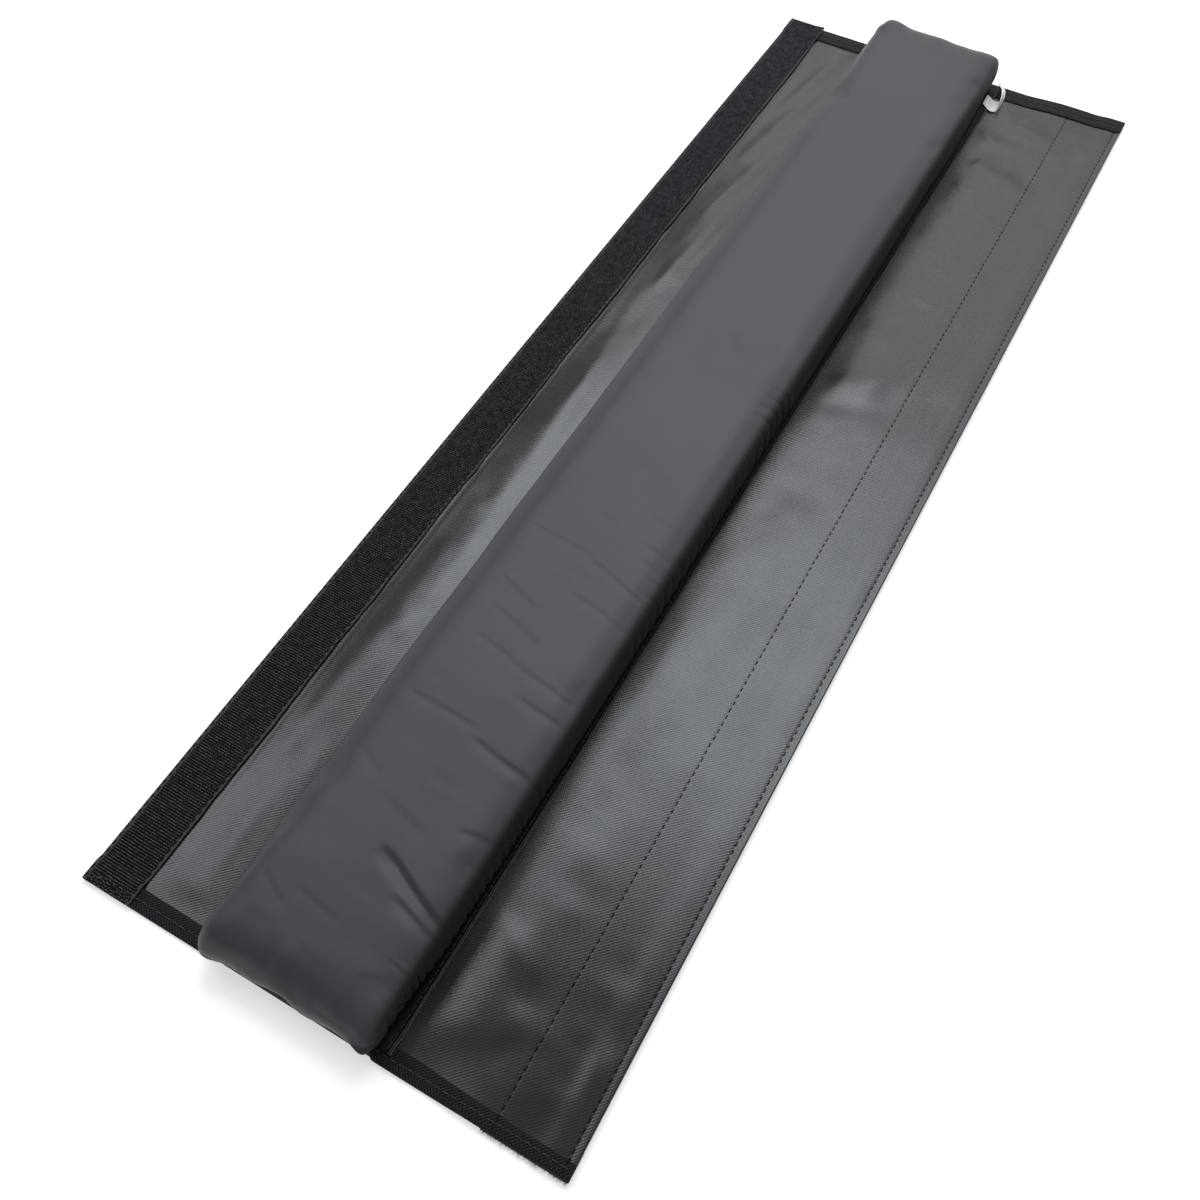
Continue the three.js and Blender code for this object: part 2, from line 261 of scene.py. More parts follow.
def cover_relief(x, y, wave_height):
    """Height of the cover above its plain section. In the two free bands it is a low wave, which is the
    square of a sine across the band times a sine along it, with soft noise that is calmer on the near
    right flap. The right flap also swells a little over the loop tape, and creases are added to both. A
    patch is a straight slope times a bell curve both ways. All of it eases out at the end bindings, and
    the near end of the left band is lower. A bell curve dips beside the hook tape, and the hem's outer
    edge rises from its stitch row on."""
    left = clamp01((x - HOOK_RIGHT) / (PAD_LEFT - HOOK_RIGHT))
    right = clamp01((x - FLANGE_RIGHT) / (LOOP_LEFT - FLANGE_RIGHT))
    free = np.sin(math.pi * left) ** 2 + np.sin(math.pi * right) ** 2
    flap = smooth((x - FLANGE_RIGHT) / 14) * smooth((RIGHT_EDGE + 1 - x) / 14)
    turns = 2 * math.pi * (y - WAVE_SLANT * (x - PAD_RIGHT)) / WAVE_LENGTH
    wave = 0.5 + 0.5 * np.sin(turns)
    on_left = x < PAD_LEFT
    ends = smooth((END - 11 - np.abs(y)) / np.where(on_left, 12, 22))
    ends = ends * (1 - 0.65 * np.where(on_left, smooth((-y - 260) / 70), 0))
    calm = 1 - 0.6 * smooth((x - FLANGE_RIGHT) / 4) * smooth((60 - y) / 60)
    height = free * (0.7 * wave_height * wave + 0.5 * calm * (1 + lattice_noise(x / 26, y / 34, 3)))
    height = height + flap * 0.45 * calm * (1 + lattice_noise(x / 34 + 9, y / 30, 5))
    height = height + (free + 0.35 * flap) * 0.22 * calm * lattice_noise(x / 9 + 3, y / 11, 8)
    for start, end, width, rise in COVER_CREASES:
        height = height + (0.45 * flap + 0.55 * free) * rise * crease(x, y, start, end, width)
    for place_x, place_y, width, length, slope in COVER_PATCHES:
        across = bell((x - place_x) / width)
        height = height - flap * slope * (y - place_y) * across * bell((y - place_y) / length)
    height = np.maximum(height, -0.6 * free)
    dip = 0.7 * bell((x - HOOK_RIGHT - 1.1) / 0.9) * (0.7 + 0.3 * lattice_noise(y / 30, 0.5, 9))
    return (height - dip) * ends + 0.5 * smooth((x - HEM_ROW_X) / (RIGHT_EDGE - HEM_ROW_X))


def grid_faces(rows, columns, round_columns=False):
    """Four-sided faces between the points of a grid that is stored row by row. Its columns may close
    into a ring."""
    last = columns if round_columns else columns - 1
    row = np.arange(rows - 1)[:, None] * columns
    first = np.arange(last)[None, :]
    second = (first + 1) % columns
    corners = [row + first, row + second, row + columns + second, row + columns + first]
    return np.stack(corners, -1).reshape(-1, 4)


def tube_faces(rows, columns):
    """Faces of a tube with closed ends: a ring of faces between each two rows, and at both ends a face
    fan that joins the points across the outline in pairs."""
    sides = grid_faces(rows, columns, True)
    half = columns // 2
    i = np.arange(half - 1)
    j = columns - 1 - i
    cap = np.stack([i, j, j - 1, i + 1], -1)
    end = cap[:, ::-1] + (rows - 1) * columns
    return np.concatenate([sides, cap, end])


def outward(points, faces):
    """Turns every face round if the signed volume of the closed surface is negative."""
    a = points[faces[:, 0]]
    b = points[faces[:, 1]]
    c = points[faces[:, 2]]
    d = points[faces[:, 3]]
    volume = np.einsum("ij,ij->", a, np.cross(b, c)) + np.einsum("ij,ij->", a, np.cross(c, d))
    return faces if volume > 0 else faces[:, ::-1]


def add_attributes(mesh, attributes):
    """Point attributes that materials read: one number or one vector for each point."""
    for key, values in attributes.items():
        plain = values.ndim == 1
        layer = mesh.attributes.new(key, "FLOAT" if plain else "FLOAT_VECTOR", "POINT")
        layer.data.foreach_set("value" if plain else "vector", values.astype(np.float32).ravel())


def read_points(mesh, key):
    """One vector for each point of a mesh: its place in metres (co) or its normal."""
    values = np.empty(3 * len(mesh.vertices), dtype=np.float32)
    mesh.vertices.foreach_get(key, values)
    return values.reshape(-1, 3).astype(float)


def write_points(mesh, points):
    """Puts the points of a mesh at places in millimetres."""
    mesh.vertices.foreach_set("co", (points * MM).astype(np.float32).ravel())


def new_mesh(name, points, faces, attributes=None, even=True):
    """A mesh from points in millimetres and faces of one corner count, with point attributes. even makes
    its shading smooth."""
    mesh = bpy.data.meshes.new(name)
    corners = faces.shape[1]
    mesh.vertices.add(len(points))
    write_points(mesh, points)
    mesh.loops.add(faces.size)
    mesh.loops.foreach_set("vertex_index", faces.astype(np.int32).ravel())
    mesh.polygons.add(len(faces))
    mesh.polygons.foreach_set("loop_start", np.arange(0, faces.size, corners, dtype=np.int32))
    mesh.polygons.foreach_set("use_smooth", np.full(len(faces), even))
    mesh.update(calc_edges=True)
    if mesh.validate():
        raise RuntimeError(name + " has broken faces")
    add_attributes(mesh, attributes or {})
    return mesh


def section_mesh(name, points, count, cloth, sharp, turned=False):
    """A closed mesh from a section of count points that is carried along, with one many-sided face at
    each end. cloth is every point's place on the flat cloth. Edges over the angle sharp, in degrees, are
    shaded sharp. turned turns the faces round."""
    rows = len(points) // count
    ring = np.arange(count)
    ends = [ring[::-1].tolist(), (ring + (rows - 1) * count).tolist()]
    faces = grid_faces(rows, count, True).tolist() + ends
    if turned:
        faces = [face[::-1] for face in faces]
    mesh = bpy.data.meshes.new(name)
    mesh.from_pydata((points * MM).tolist(), [], faces)
    mesh.update(calc_edges=True)
    mesh.polygons.foreach_set("use_smooth", np.ones(len(mesh.polygons), dtype=bool))
    add_attributes(mesh, {"cloth": cloth})
    mesh.set_sharp_from_angle(angle=math.radians(sharp))
    return mesh


def new_piece(mesh, material, nodes=()):
    """An object at the origin for a mesh. It takes a material, rides on the body and replaces CAD nodes."""
    piece = bpy.data.objects.new(mesh.name, mesh)
    bpy.context.scene.collection.objects.link(piece)
    mesh.materials.clear()
    mesh.materials.append(material)
    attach(piece, "root")
    if nodes:
        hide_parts(*nodes)
    return piece


def add_node(tree, kind, *values, output=0, inputs=None, **settings):
    """Adds a shader node with its settings. values go to its first inputs in order and inputs to those
    that are named. Each is a number, a colour or another node's output. Returns one of the node's
    outputs, or the node itself where output is None."""
    made = tree.nodes.new("ShaderNode" + kind)
    for key, value in settings.items():
        setattr(made, key, value)
    for key, value in [*enumerate(values), *(inputs or {}).items()]:
        if isinstance(value, bpy.types.NodeSocket):
            tree.links.new(value, made.inputs[key])
        else:
            made.inputs[key].default_value = value
    return made if output is None else made.outputs[output]


# A Mix node's settings and output for colours, whose two colour inputs are 6 and 7
COLOUR_MIX = {"data_type": "RGBA", "output": 2}

# Grey pigment under the clear surface of the nylon and the coat makes their shine slightly blue
COOL_SHINE = (0.90, 0.95, 1.0, 1.0)


def start_material(name):
    """An empty node material and its tree."""
    material = bpy.data.materials.new(name)
    material.use_nodes = True
    material.node_tree.nodes.clear()
    return material, material.node_tree


def finish_material(tree, colour, roughness, height, distance, plain):
    """Principled shader with a linked colour and roughness, a bump of the given depth in millimetres and
    plain values for its other sockets."""
    bump = add_node(tree, "Bump", inputs={"Height": height, "Distance": distance * MM, "Strength": 1.0})
    inputs = {"Base Color": colour, "Roughness": roughness, "Normal": bump, **plain}
    add_node(tree, "OutputMaterial", add_node(tree, "BsdfPrincipled", inputs=inputs), output=None)


def object_place(tree):
    """Object coordinates in millimetres."""
    place = add_node(tree, "TexCoord", output="Object")
    return add_node(tree, "VectorMath", place, inputs={"Scale": 1 / MM}, operation="SCALE")


def stripes(tree, place, direction, pitch, phase=0.0):
    """A sine from 0 to 1 along a direction on the cloth, one turn for each pitch in millimetres."""
    scale = 2 * math.pi / pitch / math.hypot(*direction)
    steps = (direction[0] * scale, direction[1] * scale, 0.0)
    turns = add_node(tree, "VectorMath", place, steps, output="Value", operation="DOT_PRODUCT")
    wave = add_node(tree, "Math", add_node(tree, "Math", turns, phase, operation="ADD"), operation="SINE")
    return add_node(tree, "Math", wave, 0.5, 0.5, operation="MULTIPLY_ADD")


def tone(colour, share):
    """A colour made darker or lighter, with full opacity, as a node takes it."""
    return (*(channel * share for channel in colour), 1.0)


def coated_twill(colour):
    """Polyester twill with a polyurethane coat. The coat gives the diagonal ribs, 1.1 mm apart, a satin
    shine, and the gaps between them stay duller. The colour is painted lighter on the ribs and darker in
    the gaps, as painted highlight and shade of the ribs."""
    material, tree = start_material("polyester_twill_coated")
    place = add_node(tree, "Attribute", output="Vector", attribute_name="cloth")
    ribs = stripes(tree, place, (1, -1), 1.1)
    floats = stripes(tree, place, (1, 1), 0.9)
    grain = add_node(tree, "TexNoise", place, inputs={"Scale": 2.0, "Detail": 3.0})
    clouds = add_node(tree, "TexNoise", place, inputs={"Scale": 1 / 38, "Detail": 2.0})
    beads = add_node(tree, "MapRange", floats, 0.0, 1.0, 0.7, 1.0)
    weave = add_node(tree, "Math", ribs, beads, operation="MULTIPLY")
    weave = add_node(tree, "Math", grain, 0.6, weave, operation="MULTIPLY_ADD")
    patches = add_node(tree, "MapRange", clouds, 0.3, 0.7, 0.85, 1.15)
    # Painted highlight and shade: the colour is lighter on the ribs and darker in the gaps, times random
    # patches
    share = add_node(tree, "MapRange", ribs, 0.0, 1.0, 0.25, 1.0)
    share = add_node(tree, "Math", share, patches, operation="MULTIPLY")
    mixed = add_node(tree, "Mix", share, inputs={6: tone(colour, 0.2), 7: tone(colour, 1.3)}, **COLOUR_MIX)
    roughness = add_node(tree, "MapRange", clouds, 0.3, 0.7, 0.20, 0.26)
    gaps = add_node(tree, "MapRange", ribs, 0.0, 0.55, 0.14, 0.0)
    roughness = add_node(tree, "Math", roughness, gaps, operation="ADD")
    plain = {"IOR": 1.5, "Specular IOR Level": 0.55, "Specular Tint": COOL_SHINE}
    finish_material(tree, mixed, roughness, weave, 0.024, plain)
    return material


def nylon_taffeta(colour):
    """Nylon taffeta, a smooth plain weave of shiny filament yarn: a soft shine and hardly any grain.
    Its 0.3 mm yarns are too fine to show, so ribs at 1.0 mm and a 0.7 mm grain stand for them. Where the
    attribute panel is set, beside the seam, the colour is painted near black as painted shade, and the
    cloth is rougher."""
    material, tree = start_material("nylon_taffeta")
    place = add_node(tree, "Attribute", output="Vector", attribute_name="cloth")
    grain = add_node(tree, "TexNoise", place, inputs={"Scale": 1 / 0.7, "Detail": 3.0})
    clouds = add_node(tree, "TexNoise", place, inputs={"Scale": 1 / 45, "Detail": 2.0})
    lengthwise = stripes(tree, place, (1, 0), 1.3)
    yarns = add_node(tree, "Math", stripes(tree, place, (0, 1), 1.0), lengthwise, operation="ADD")
    weave = add_node(tree, "Math", yarns, 0.25, grain, operation="MULTIPLY_ADD")
    share = add_node(tree, "MapRange", clouds, 0.3, 0.7, 0.2, 0.8)
    mixed = add_node(tree, "Mix", share, inputs={6: tone(colour, 0.88), 7: tone(colour, 1.1)}, **COLOUR_MIX)
    # Painted shade: the attribute panel turns the colour near black on the side wall beside the seam and on
    # its upper right edge
    panel = add_node(tree, "Attribute", output="Fac", attribute_name="panel")
    mixed = add_node(tree, "Mix", panel, inputs={6: mixed, 7: tone(colour, 0.04)}, **COLOUR_MIX)
    roughness = add_node(tree, "MapRange", grain, 0.0, 1.0, 0.46, 0.56)
    roughness = add_node(tree, "Math", panel, 0.4, roughness, operation="MULTIPLY_ADD")
    plain = {"IOR": 1.53, "Specular IOR Level": 0.38, "Specular Tint": COOL_SHINE}
    finish_material(tree, mixed, roughness, weave, 0.016, plain)
    return material


def taffeta_edge(colour, highlight_colour):
    """The same nylon taffeta, doubled and cut. A painted highlight makes its cut edge lighter."""
    material, tree = start_material("nylon_taffeta_edge")
    place = add_node(tree, "Attribute", output="Vector", attribute_name="cloth")
    edge = add_node(tree, "Attribute", output="Fac", attribute_name="edge")
    grain = add_node(tree, "TexNoise", place, inputs={"Scale": 1 / 0.7, "Detail": 3.0})
    # Painted highlight: the cut edge takes the lighter colour
    mixed = add_node(tree, "Mix", edge, inputs={6: tone(colour, 1), 7: tone(highlight_colour, 1)}, **COLOUR_MIX)
    roughness = add_node(tree, "MapRange", grain, 0.0, 1.0, 0.5, 0.65)
    plain = {"IOR": 1.53, "Specular IOR Level": 0.2, "Specular Tint": COOL_SHINE}
    finish_material(tree, mixed, roughness, grain, 0.02, plain)
    return material


def hook_nylon(colour):
    """Nylon 6.6 monofilament, drawn and cut to hooks: smooth and glossy, so that each hook glints. The
    black hooks are given a light grey colour as a painted highlight of their lit tops, mottled in random
    patches.
    """
    material, tree = start_material("nylon_monofilament_hooks")
    patches = add_node(tree, "TexNoise", object_place(tree), inputs={"Scale": 1 / 3, "Detail": 3.0})
    share = add_node(tree, "MapRange", patches, 0.3, 0.7, 0.0, 1.0)
    mixed = add_node(tree, "Mix", share, inputs={6: tone(colour, 0.45), 7: tone(colour, 1.5)}, **COLOUR_MIX)
    roughness = add_node(tree, "MapRange", patches, 0.0, 1.0, 0.3, 0.5)
    finish_material(tree, mixed, roughness, patches, 0.01, {"IOR": 1.53, "Specular Tint": COOL_SHINE})
    return material


def tape_ground(colour, selvage_colour, row_pitch, first_row):
    """Woven nylon ground of the hook tape. It is darkest between the rows of hooks, where it is in their
    shade. Its selvages are plain and look greyer."""
    material, tree = start_material("nylon_woven_ground")
    place = object_place(tree)
    edge = add_node(tree, "Attribute", output="Fac", attribute_name="selvage")
    rows = stripes(tree, place, (0, 1), row_pitch, math.pi / 2 - 2 * math.pi * first_row / row_pitch)
    yarns = stripes(tree, place, (0.3, 1), 0.8)
    grain = add_node(tree, "TexNoise", place, inputs={"Scale": 2.5, "Detail": 3.0})
    ground = add_node(tree, "Mix", rows, inputs={6: tone(colour, 0.3), 7: tone(colour, 1.6)}, **COLOUR_MIX)
    plain = {6: tone(selvage_colour, 0.5), 7: tone(selvage_colour, 1.3)}
    selvage = add_node(tree, "Mix", yarns, inputs=plain, **COLOUR_MIX)
    mixed = add_node(tree, "Mix", edge, inputs={6: ground, 7: selvage}, **COLOUR_MIX)
    height = add_node(tree, "Math", yarns, grain, operation="ADD")
    roughness = add_node(tree, "MapRange", grain, 0.0, 1.0, 0.6, 0.8)
    finish_material(tree, mixed, roughness, height, 0.04, {"IOR": 1.53, "Specular IOR Level": 0.15})
    return material


def loop_pile(colour):
    """Napped nylon loops, brushed to a pile: deep matt black with a soft sheen of loose fibres."""
    material, tree = start_material("nylon_loop_pile")
    pile = add_node(tree, "TexNoise", object_place(tree), inputs={"Scale": 1 / 0.6, "Detail": 3.0})
    mixed = add_node(tree, "Mix", pile, inputs={6: tone(colour, 0.6), 7: tone(colour, 1.6)}, **COLOUR_MIX)
    roughness = add_node(tree, "MapRange", pile, 0.0, 1.0, 0.85, 1.0)
    plain = {"IOR": 1.53, "Sheen Weight": 0.15, "Sheen Roughness": 0.6}
    finish_material(tree, mixed, roughness, pile, 0.25, plain)
    return material


def herringbone_tape(colour):
    """Polyester herringbone binding tape: ribs at 1.06 mm that turn at a spine in the middle of a leg.
    The yarns are matt. The colour is painted light on the ribs and near black in the gaps between them, as
    painted highlight and shade."""
    material, tree = start_material("polyester_herringbone_tape")
    place = add_node(tree, "Attribute", output="Vector", attribute_name="cloth")
    parts = add_node(tree, "SeparateXYZ", place, output=None).outputs
    folded = add_node(tree, "Math", parts["Y"], HERRINGBONE_LEG, operation="PINGPONG")
    turned = add_node(tree, "CombineXYZ", parts["X"], folded)
    ribs = stripes(tree, turned, (1, 1), 1.06)
    beads = stripes(tree, turned, (1, -1), 1.5)
    grain = add_node(tree, "TexNoise", place, inputs={"Scale": 1 / 0.45, "Detail": 3.0})
    beads = add_node(tree, "MapRange", beads, 0.0, 1.0, 0.55, 1.0)
    height = add_node(tree, "Math", ribs, beads, operation="MULTIPLY")
    height = add_node(tree, "Math", grain, 0.4, height, operation="MULTIPLY_ADD")
    # Painted highlight and shade: ribs are made much lighter and the gaps near black
    share = add_node(tree, "MapRange", height, 0.3, 1.2, 0.0, 1.0)
    mixed = add_node(tree, "Mix", share, inputs={6: tone(colour, 0.1), 7: tone(colour, 3.2)}, **COLOUR_MIX)
    roughness = add_node(tree, "MapRange", grain, 0.0, 1.0, 0.5, 0.7)
    plain = {"IOR": 1.5, "Specular IOR Level": 0.15, "Specular Tint": COOL_SHINE}
    finish_material(tree, mixed, roughness, height, 0.22, plain)
    return material


def sewing_thread(colour, glint_colour):
    """Spun polyester sewing thread, twisted from plies: matt, with a fine slanting twist. Where a stitch
    dives into its hole the bent plies catch the light."""
    material, tree = start_material("polyester_sewing_thread")
    tips = add_node(tree, "Attribute", output="Fac", attribute_name="tip")
    twist = stripes(tree, object_place(tree), (1, 0.8), 0.35)
    plies = add_node(tree, "Mix", twist, inputs={6: tone(colour, 0.7), 7: tone(colour, 1.5)}, **COLOUR_MIX)
    mixed = add_node(tree, "Mix", tips, inputs={6: plies, 7: tone(glint_colour, 1)}, **COLOUR_MIX)
    roughness = add_node(tree, "MapRange", twist, 0.0, 1.0, 0.5, 0.7)
    finish_material(tree, mixed, roughness, twist, 0.03, {"IOR": 1.5, "Specular IOR Level": 0.1})
    return material


def satin_ribbon(colour):
    """White polyester satin ribbon with fine cross ribs at 0.5 mm. It is blank, and thin enough to let
    some light through."""
    material, tree = start_material("polyester_satin_ribbon")
    place = object_place(tree)
    ribs = stripes(tree, place, (0.4, 1), 0.5)
    grain = add_node(tree, "TexNoise", place, inputs={"Scale": 1 / 1.5, "Detail": 3.0})
    mixed = add_node(tree, "Mix", grain, inputs={6: tone(colour, 0.97), 7: tone(colour, 1)}, **COLOUR_MIX)
    roughness = add_node(tree, "MapRange", grain, 0.0, 1.0, 0.35, 0.5)
    plain = {"IOR": 1.5, "Subsurface Weight": 0.3}
    plain["Subsurface Radius"] = (1.0, 1.0, 1.0)
    plain["Subsurface Scale"] = 1.0 * MM
    finish_material(tree, mixed, roughness, ribs, 0.01, plain)
    return material


def packed_foam(colour):
    """Open-cell polyurethane foam, cut from a block: matt, with pores of about 0.8 mm."""
    material, tree = start_material("polyurethane_foam")
    pores = add_node(tree, "TexNoise", object_place(tree), inputs={"Scale": 1 / 0.8, "Detail": 3.0})
    mixed = add_node(tree, "Mix", pores, inputs={6: tone(colour, 0.6), 7: tone(colour, 1.3)}, **COLOUR_MIX)
    roughness = add_node(tree, "MapRange", pores, 0.0, 1.0, 0.9, 1.0)
    finish_material(tree, mixed, roughness, pores, 0.4, {"IOR": 1.5})
    return material


def seen_directly(tree):
    """1 for rays from the camera, in gloss and through glass, and 0 for the light on the object."""
    rays = add_node(tree, "LightPath", output=None).outputs
    seen = add_node(tree, "Math", rays["Is Camera Ray"], rays["Is Glossy Ray"], operation="MAXIMUM")
    return add_node(tree, "Math", seen, rays["Is Transmission Ray"], operation="MAXIMUM")


def studio_paper(colour):
    """White seamless paper under the pad. Seen by the camera, in gloss or through glass it also gives off
    a little light, so that it looks white and keeps the shadow."""
    material, tree = start_material("seamless_paper")
    grain = add_node(tree, "TexNoise", object_place(tree), inputs={"Scale": 0.5, "Detail": 3.0})
    mixed = add_node(tree, "Mix", grain, inputs={6: tone(colour, 0.99), 7: tone(colour, 1)}, **COLOUR_MIX)
    paper = add_node(tree, "BsdfDiffuse", mixed)
    strength = add_node(tree, "Math", seen_directly(tree), PAPER_GLOW, operation="MULTIPLY")
    glow = add_node(tree, "Emission", tone((1, 1, 1), 1), strength)
    add_node(tree, "OutputMaterial", add_node(tree, "AddShader", paper, glow), output=None)
    return material


def cover_columns():
    """Places across the top of the cover: every 2 mm, and closer beside the stitch rows and the ramps."""
    plain = np.arange(LEFT_EDGE, RIGHT_EDGE - 0.9, 2.0)
    beside = np.array([-1.5, -0.9, -0.45, 0.0, 0.45, 0.9, 1.5])
    rows = np.concatenate([HEM_ROW_X + beside[:-1], LOOP_ROW_X + beside])
    apart = np.abs(plain[:, None] - rows[None, :]).min(1) > 0.35
    return np.sort(np.concatenate([plain[apart], rows]))


def cover_section():
    """Outline of the cover across the pad as x, z, the place on the flat cloth, and 1 on the top face.
    It runs along the underside, into the fold of the hem, round its outer face and back along the top."""
    radius = COVER_THICKNESS + HEM_GAP / 2
    fold_x = RIGHT_EDGE - radius
    fold_z = LOOP_THICKNESS + radius
    ramp_x = np.linspace(HEM_EDGE - HEM_RAMP, HEM_EDGE, 5)
    under_x = np.append(np.arange(LEFT_EDGE, ramp_x[0], 4.0), ramp_x)
    under_z = underside_z(under_x)
    under_z[-5:] = np.linspace(LOOP_THICKNESS, LOOP_THICKNESS + HEM_RISE, 5)
    inner = np.radians([90, 45, 0, -45, -90])
    inner_x = fold_x + HEM_GAP / 2 * np.cos(inner)
    inner_z = fold_z + HEM_GAP / 2 * np.sin(inner)
    low_x = np.array([HEM_EDGE, HEM_EDGE, (HEM_EDGE + fold_x) / 2])
    low_z = np.array([LOOP_THICKNESS + COVER_THICKNESS, LOOP_THICKNESS, LOOP_THICKNESS])
    outer = np.radians(np.arange(-90, 91, 18))
    outer_x = fold_x + radius * np.cos(outer)
    outer_z = fold_z + radius * np.sin(outer)
    top_x = cover_columns()
    top_x = top_x[top_x < fold_x - 0.2][::-1]
    top_z = topside_z(top_x)
    x = np.concatenate([under_x, inner_x, low_x, outer_x, top_x])
    z = np.concatenate([under_z, inner_z, low_z, outer_z, top_z])
    flat = np.concatenate([under_x, inner_x, 2 * RIGHT_EDGE - low_x, 0 * outer_x + RIGHT_EDGE, top_x])
    top = np.concatenate([np.zeros(len(x) - len(top_x)), np.ones(len(top_x))])
    return x, z, flat, top


def stitch_groove(x):
    """Depth of the dips that two stitch rows pull into the top of the cover: a bell curve beside each."""
    return 0.1 * (bell((x - HEM_ROW_X) / 0.6) + bell((x - LOOP_ROW_X) / 0.6))


def cover_surface(x, y, sizes):
    """Height of the cover's top face at any place, with its relief and its stitch grooves."""
    return topside_z(x) + cover_relief(x, y, sizes.wave_height) - stitch_groove(x)


def build_cover(sizes, colours):
    """The cover sheet: its section carried along y every 2.6 mm, raised by the relief."""
    x, z, flat, top = cover_section()
    ys = np.linspace(-COVER_END, COVER_END, 273)
    gx, gy = np.meshgrid(x, ys)
    height = z[None, :] + cover_relief(gx, gy, sizes.wave_height) - top[None, :] * stitch_groove(gx)
    points = np.stack([gx, gy + end_draw(gx, gy, NEAR_DRAW), height], -1).reshape(-1, 3)
    cloth = np.stack([np.broadcast_to(flat, gx.shape), gy, np.zeros_like(gx)], -1).reshape(-1, 3)
    mesh = section_mesh("cover_cloth", points, len(x), cloth, 50)
    return new_piece(mesh, coated_twill(colours.cover), ["cover_sheet"])


def strip_between(name, outline, ys, attribute=None):
    """A closed strip along the pad. outline(y) gives x and z of its section for a column of y values, as
    arrays with one row for each y and one column for each corner."""
    x, z = outline(ys[:, None])
    gy = np.broadcast_to(ys[:, None], x.shape)
    points = np.stack([x, gy, z], -1).reshape(-1, 3)
    faces = outward(points, tube_faces(len(ys), x.shape[1]))
    mesh = new_mesh(name, points, faces, attribute)
    mesh.set_sharp_from_angle(angle=math.radians(40))
    return mesh


def hook_tape_edge(y):
    """How far the inner selvage of the hook tape wanders at y, in millimetres."""
    return 0.55 * lattice_noise(y / 13, 0.5, 21) + 0.2 * lattice_noise(y / 5, 0.5, 22)


def hook_base(x, y):
    """Height of the hook tape's underside. Its inner edge stands off the cover a little, by a height that
    varies along it."""
    edge = smooth((x - (HOOK_RIGHT - 6)) / 6)
    curl = 0.45 + 0.35 * lattice_noise(y / 24, 2.5, 23)
    return COVER_TOP + lift_z(y) + edge * curl


def build_hook_tape(sizes, colours):
    """Ground of the hook tape: a thin section with two raised round selvages, whose inner edge wanders."""
    share = np.array([0.0, 0.16, 0.5, 0.84, 1.0])
    selvage = HOOK_GROUND + 0.35 * np.array([0, 0.7, 1, 0.7, 0.2])
    ys = np.linspace(-END, END, 475)

    def outline(y):
        right = HOOK_RIGHT + hook_tape_edge(y)
        left = HOOK_LEFT + 0.15 * lattice_noise(y / 11, 4.5, 24)
        left_x = left + SELVAGE_WIDTH * share
        right_x = right - SELVAGE_WIDTH * (1 - share)
        middle_x = HOOK_LEFT + SELVAGE_WIDTH + np.array([0.6, 7, 14, 21]) + 0 * y
        top_x = np.concatenate([left_x + 0 * y, middle_x, right_x + 0 * y], 1)
        top_z = hook_base(top_x, y) + np.concatenate([selvage, [HOOK_GROUND] * 4, selvage[::-1]])
        low_x = top_x[:, ::-1]
        low_z = hook_base(low_x, y)
        return np.concatenate([top_x, low_x], 1), np.concatenate([top_z, low_z], 1)

    x, _ = outline(ys[:, None])
    inside = smooth((x - HOOK_LEFT - SELVAGE_WIDTH + 0.2) / 0.5)
    inside = inside * smooth((HOOK_RIGHT - SELVAGE_WIDTH + 0.6 - x) / 0.5)
    mesh = strip_between("hook_tape", outline, ys, {"selvage": 1 - inside.ravel()})
    material = tape_ground(colours.tape, colours.selvage, sizes.hook_pitch, -END + FIRST_HOOK_ROW)
    return new_piece(mesh, material, ["hook_strip"])


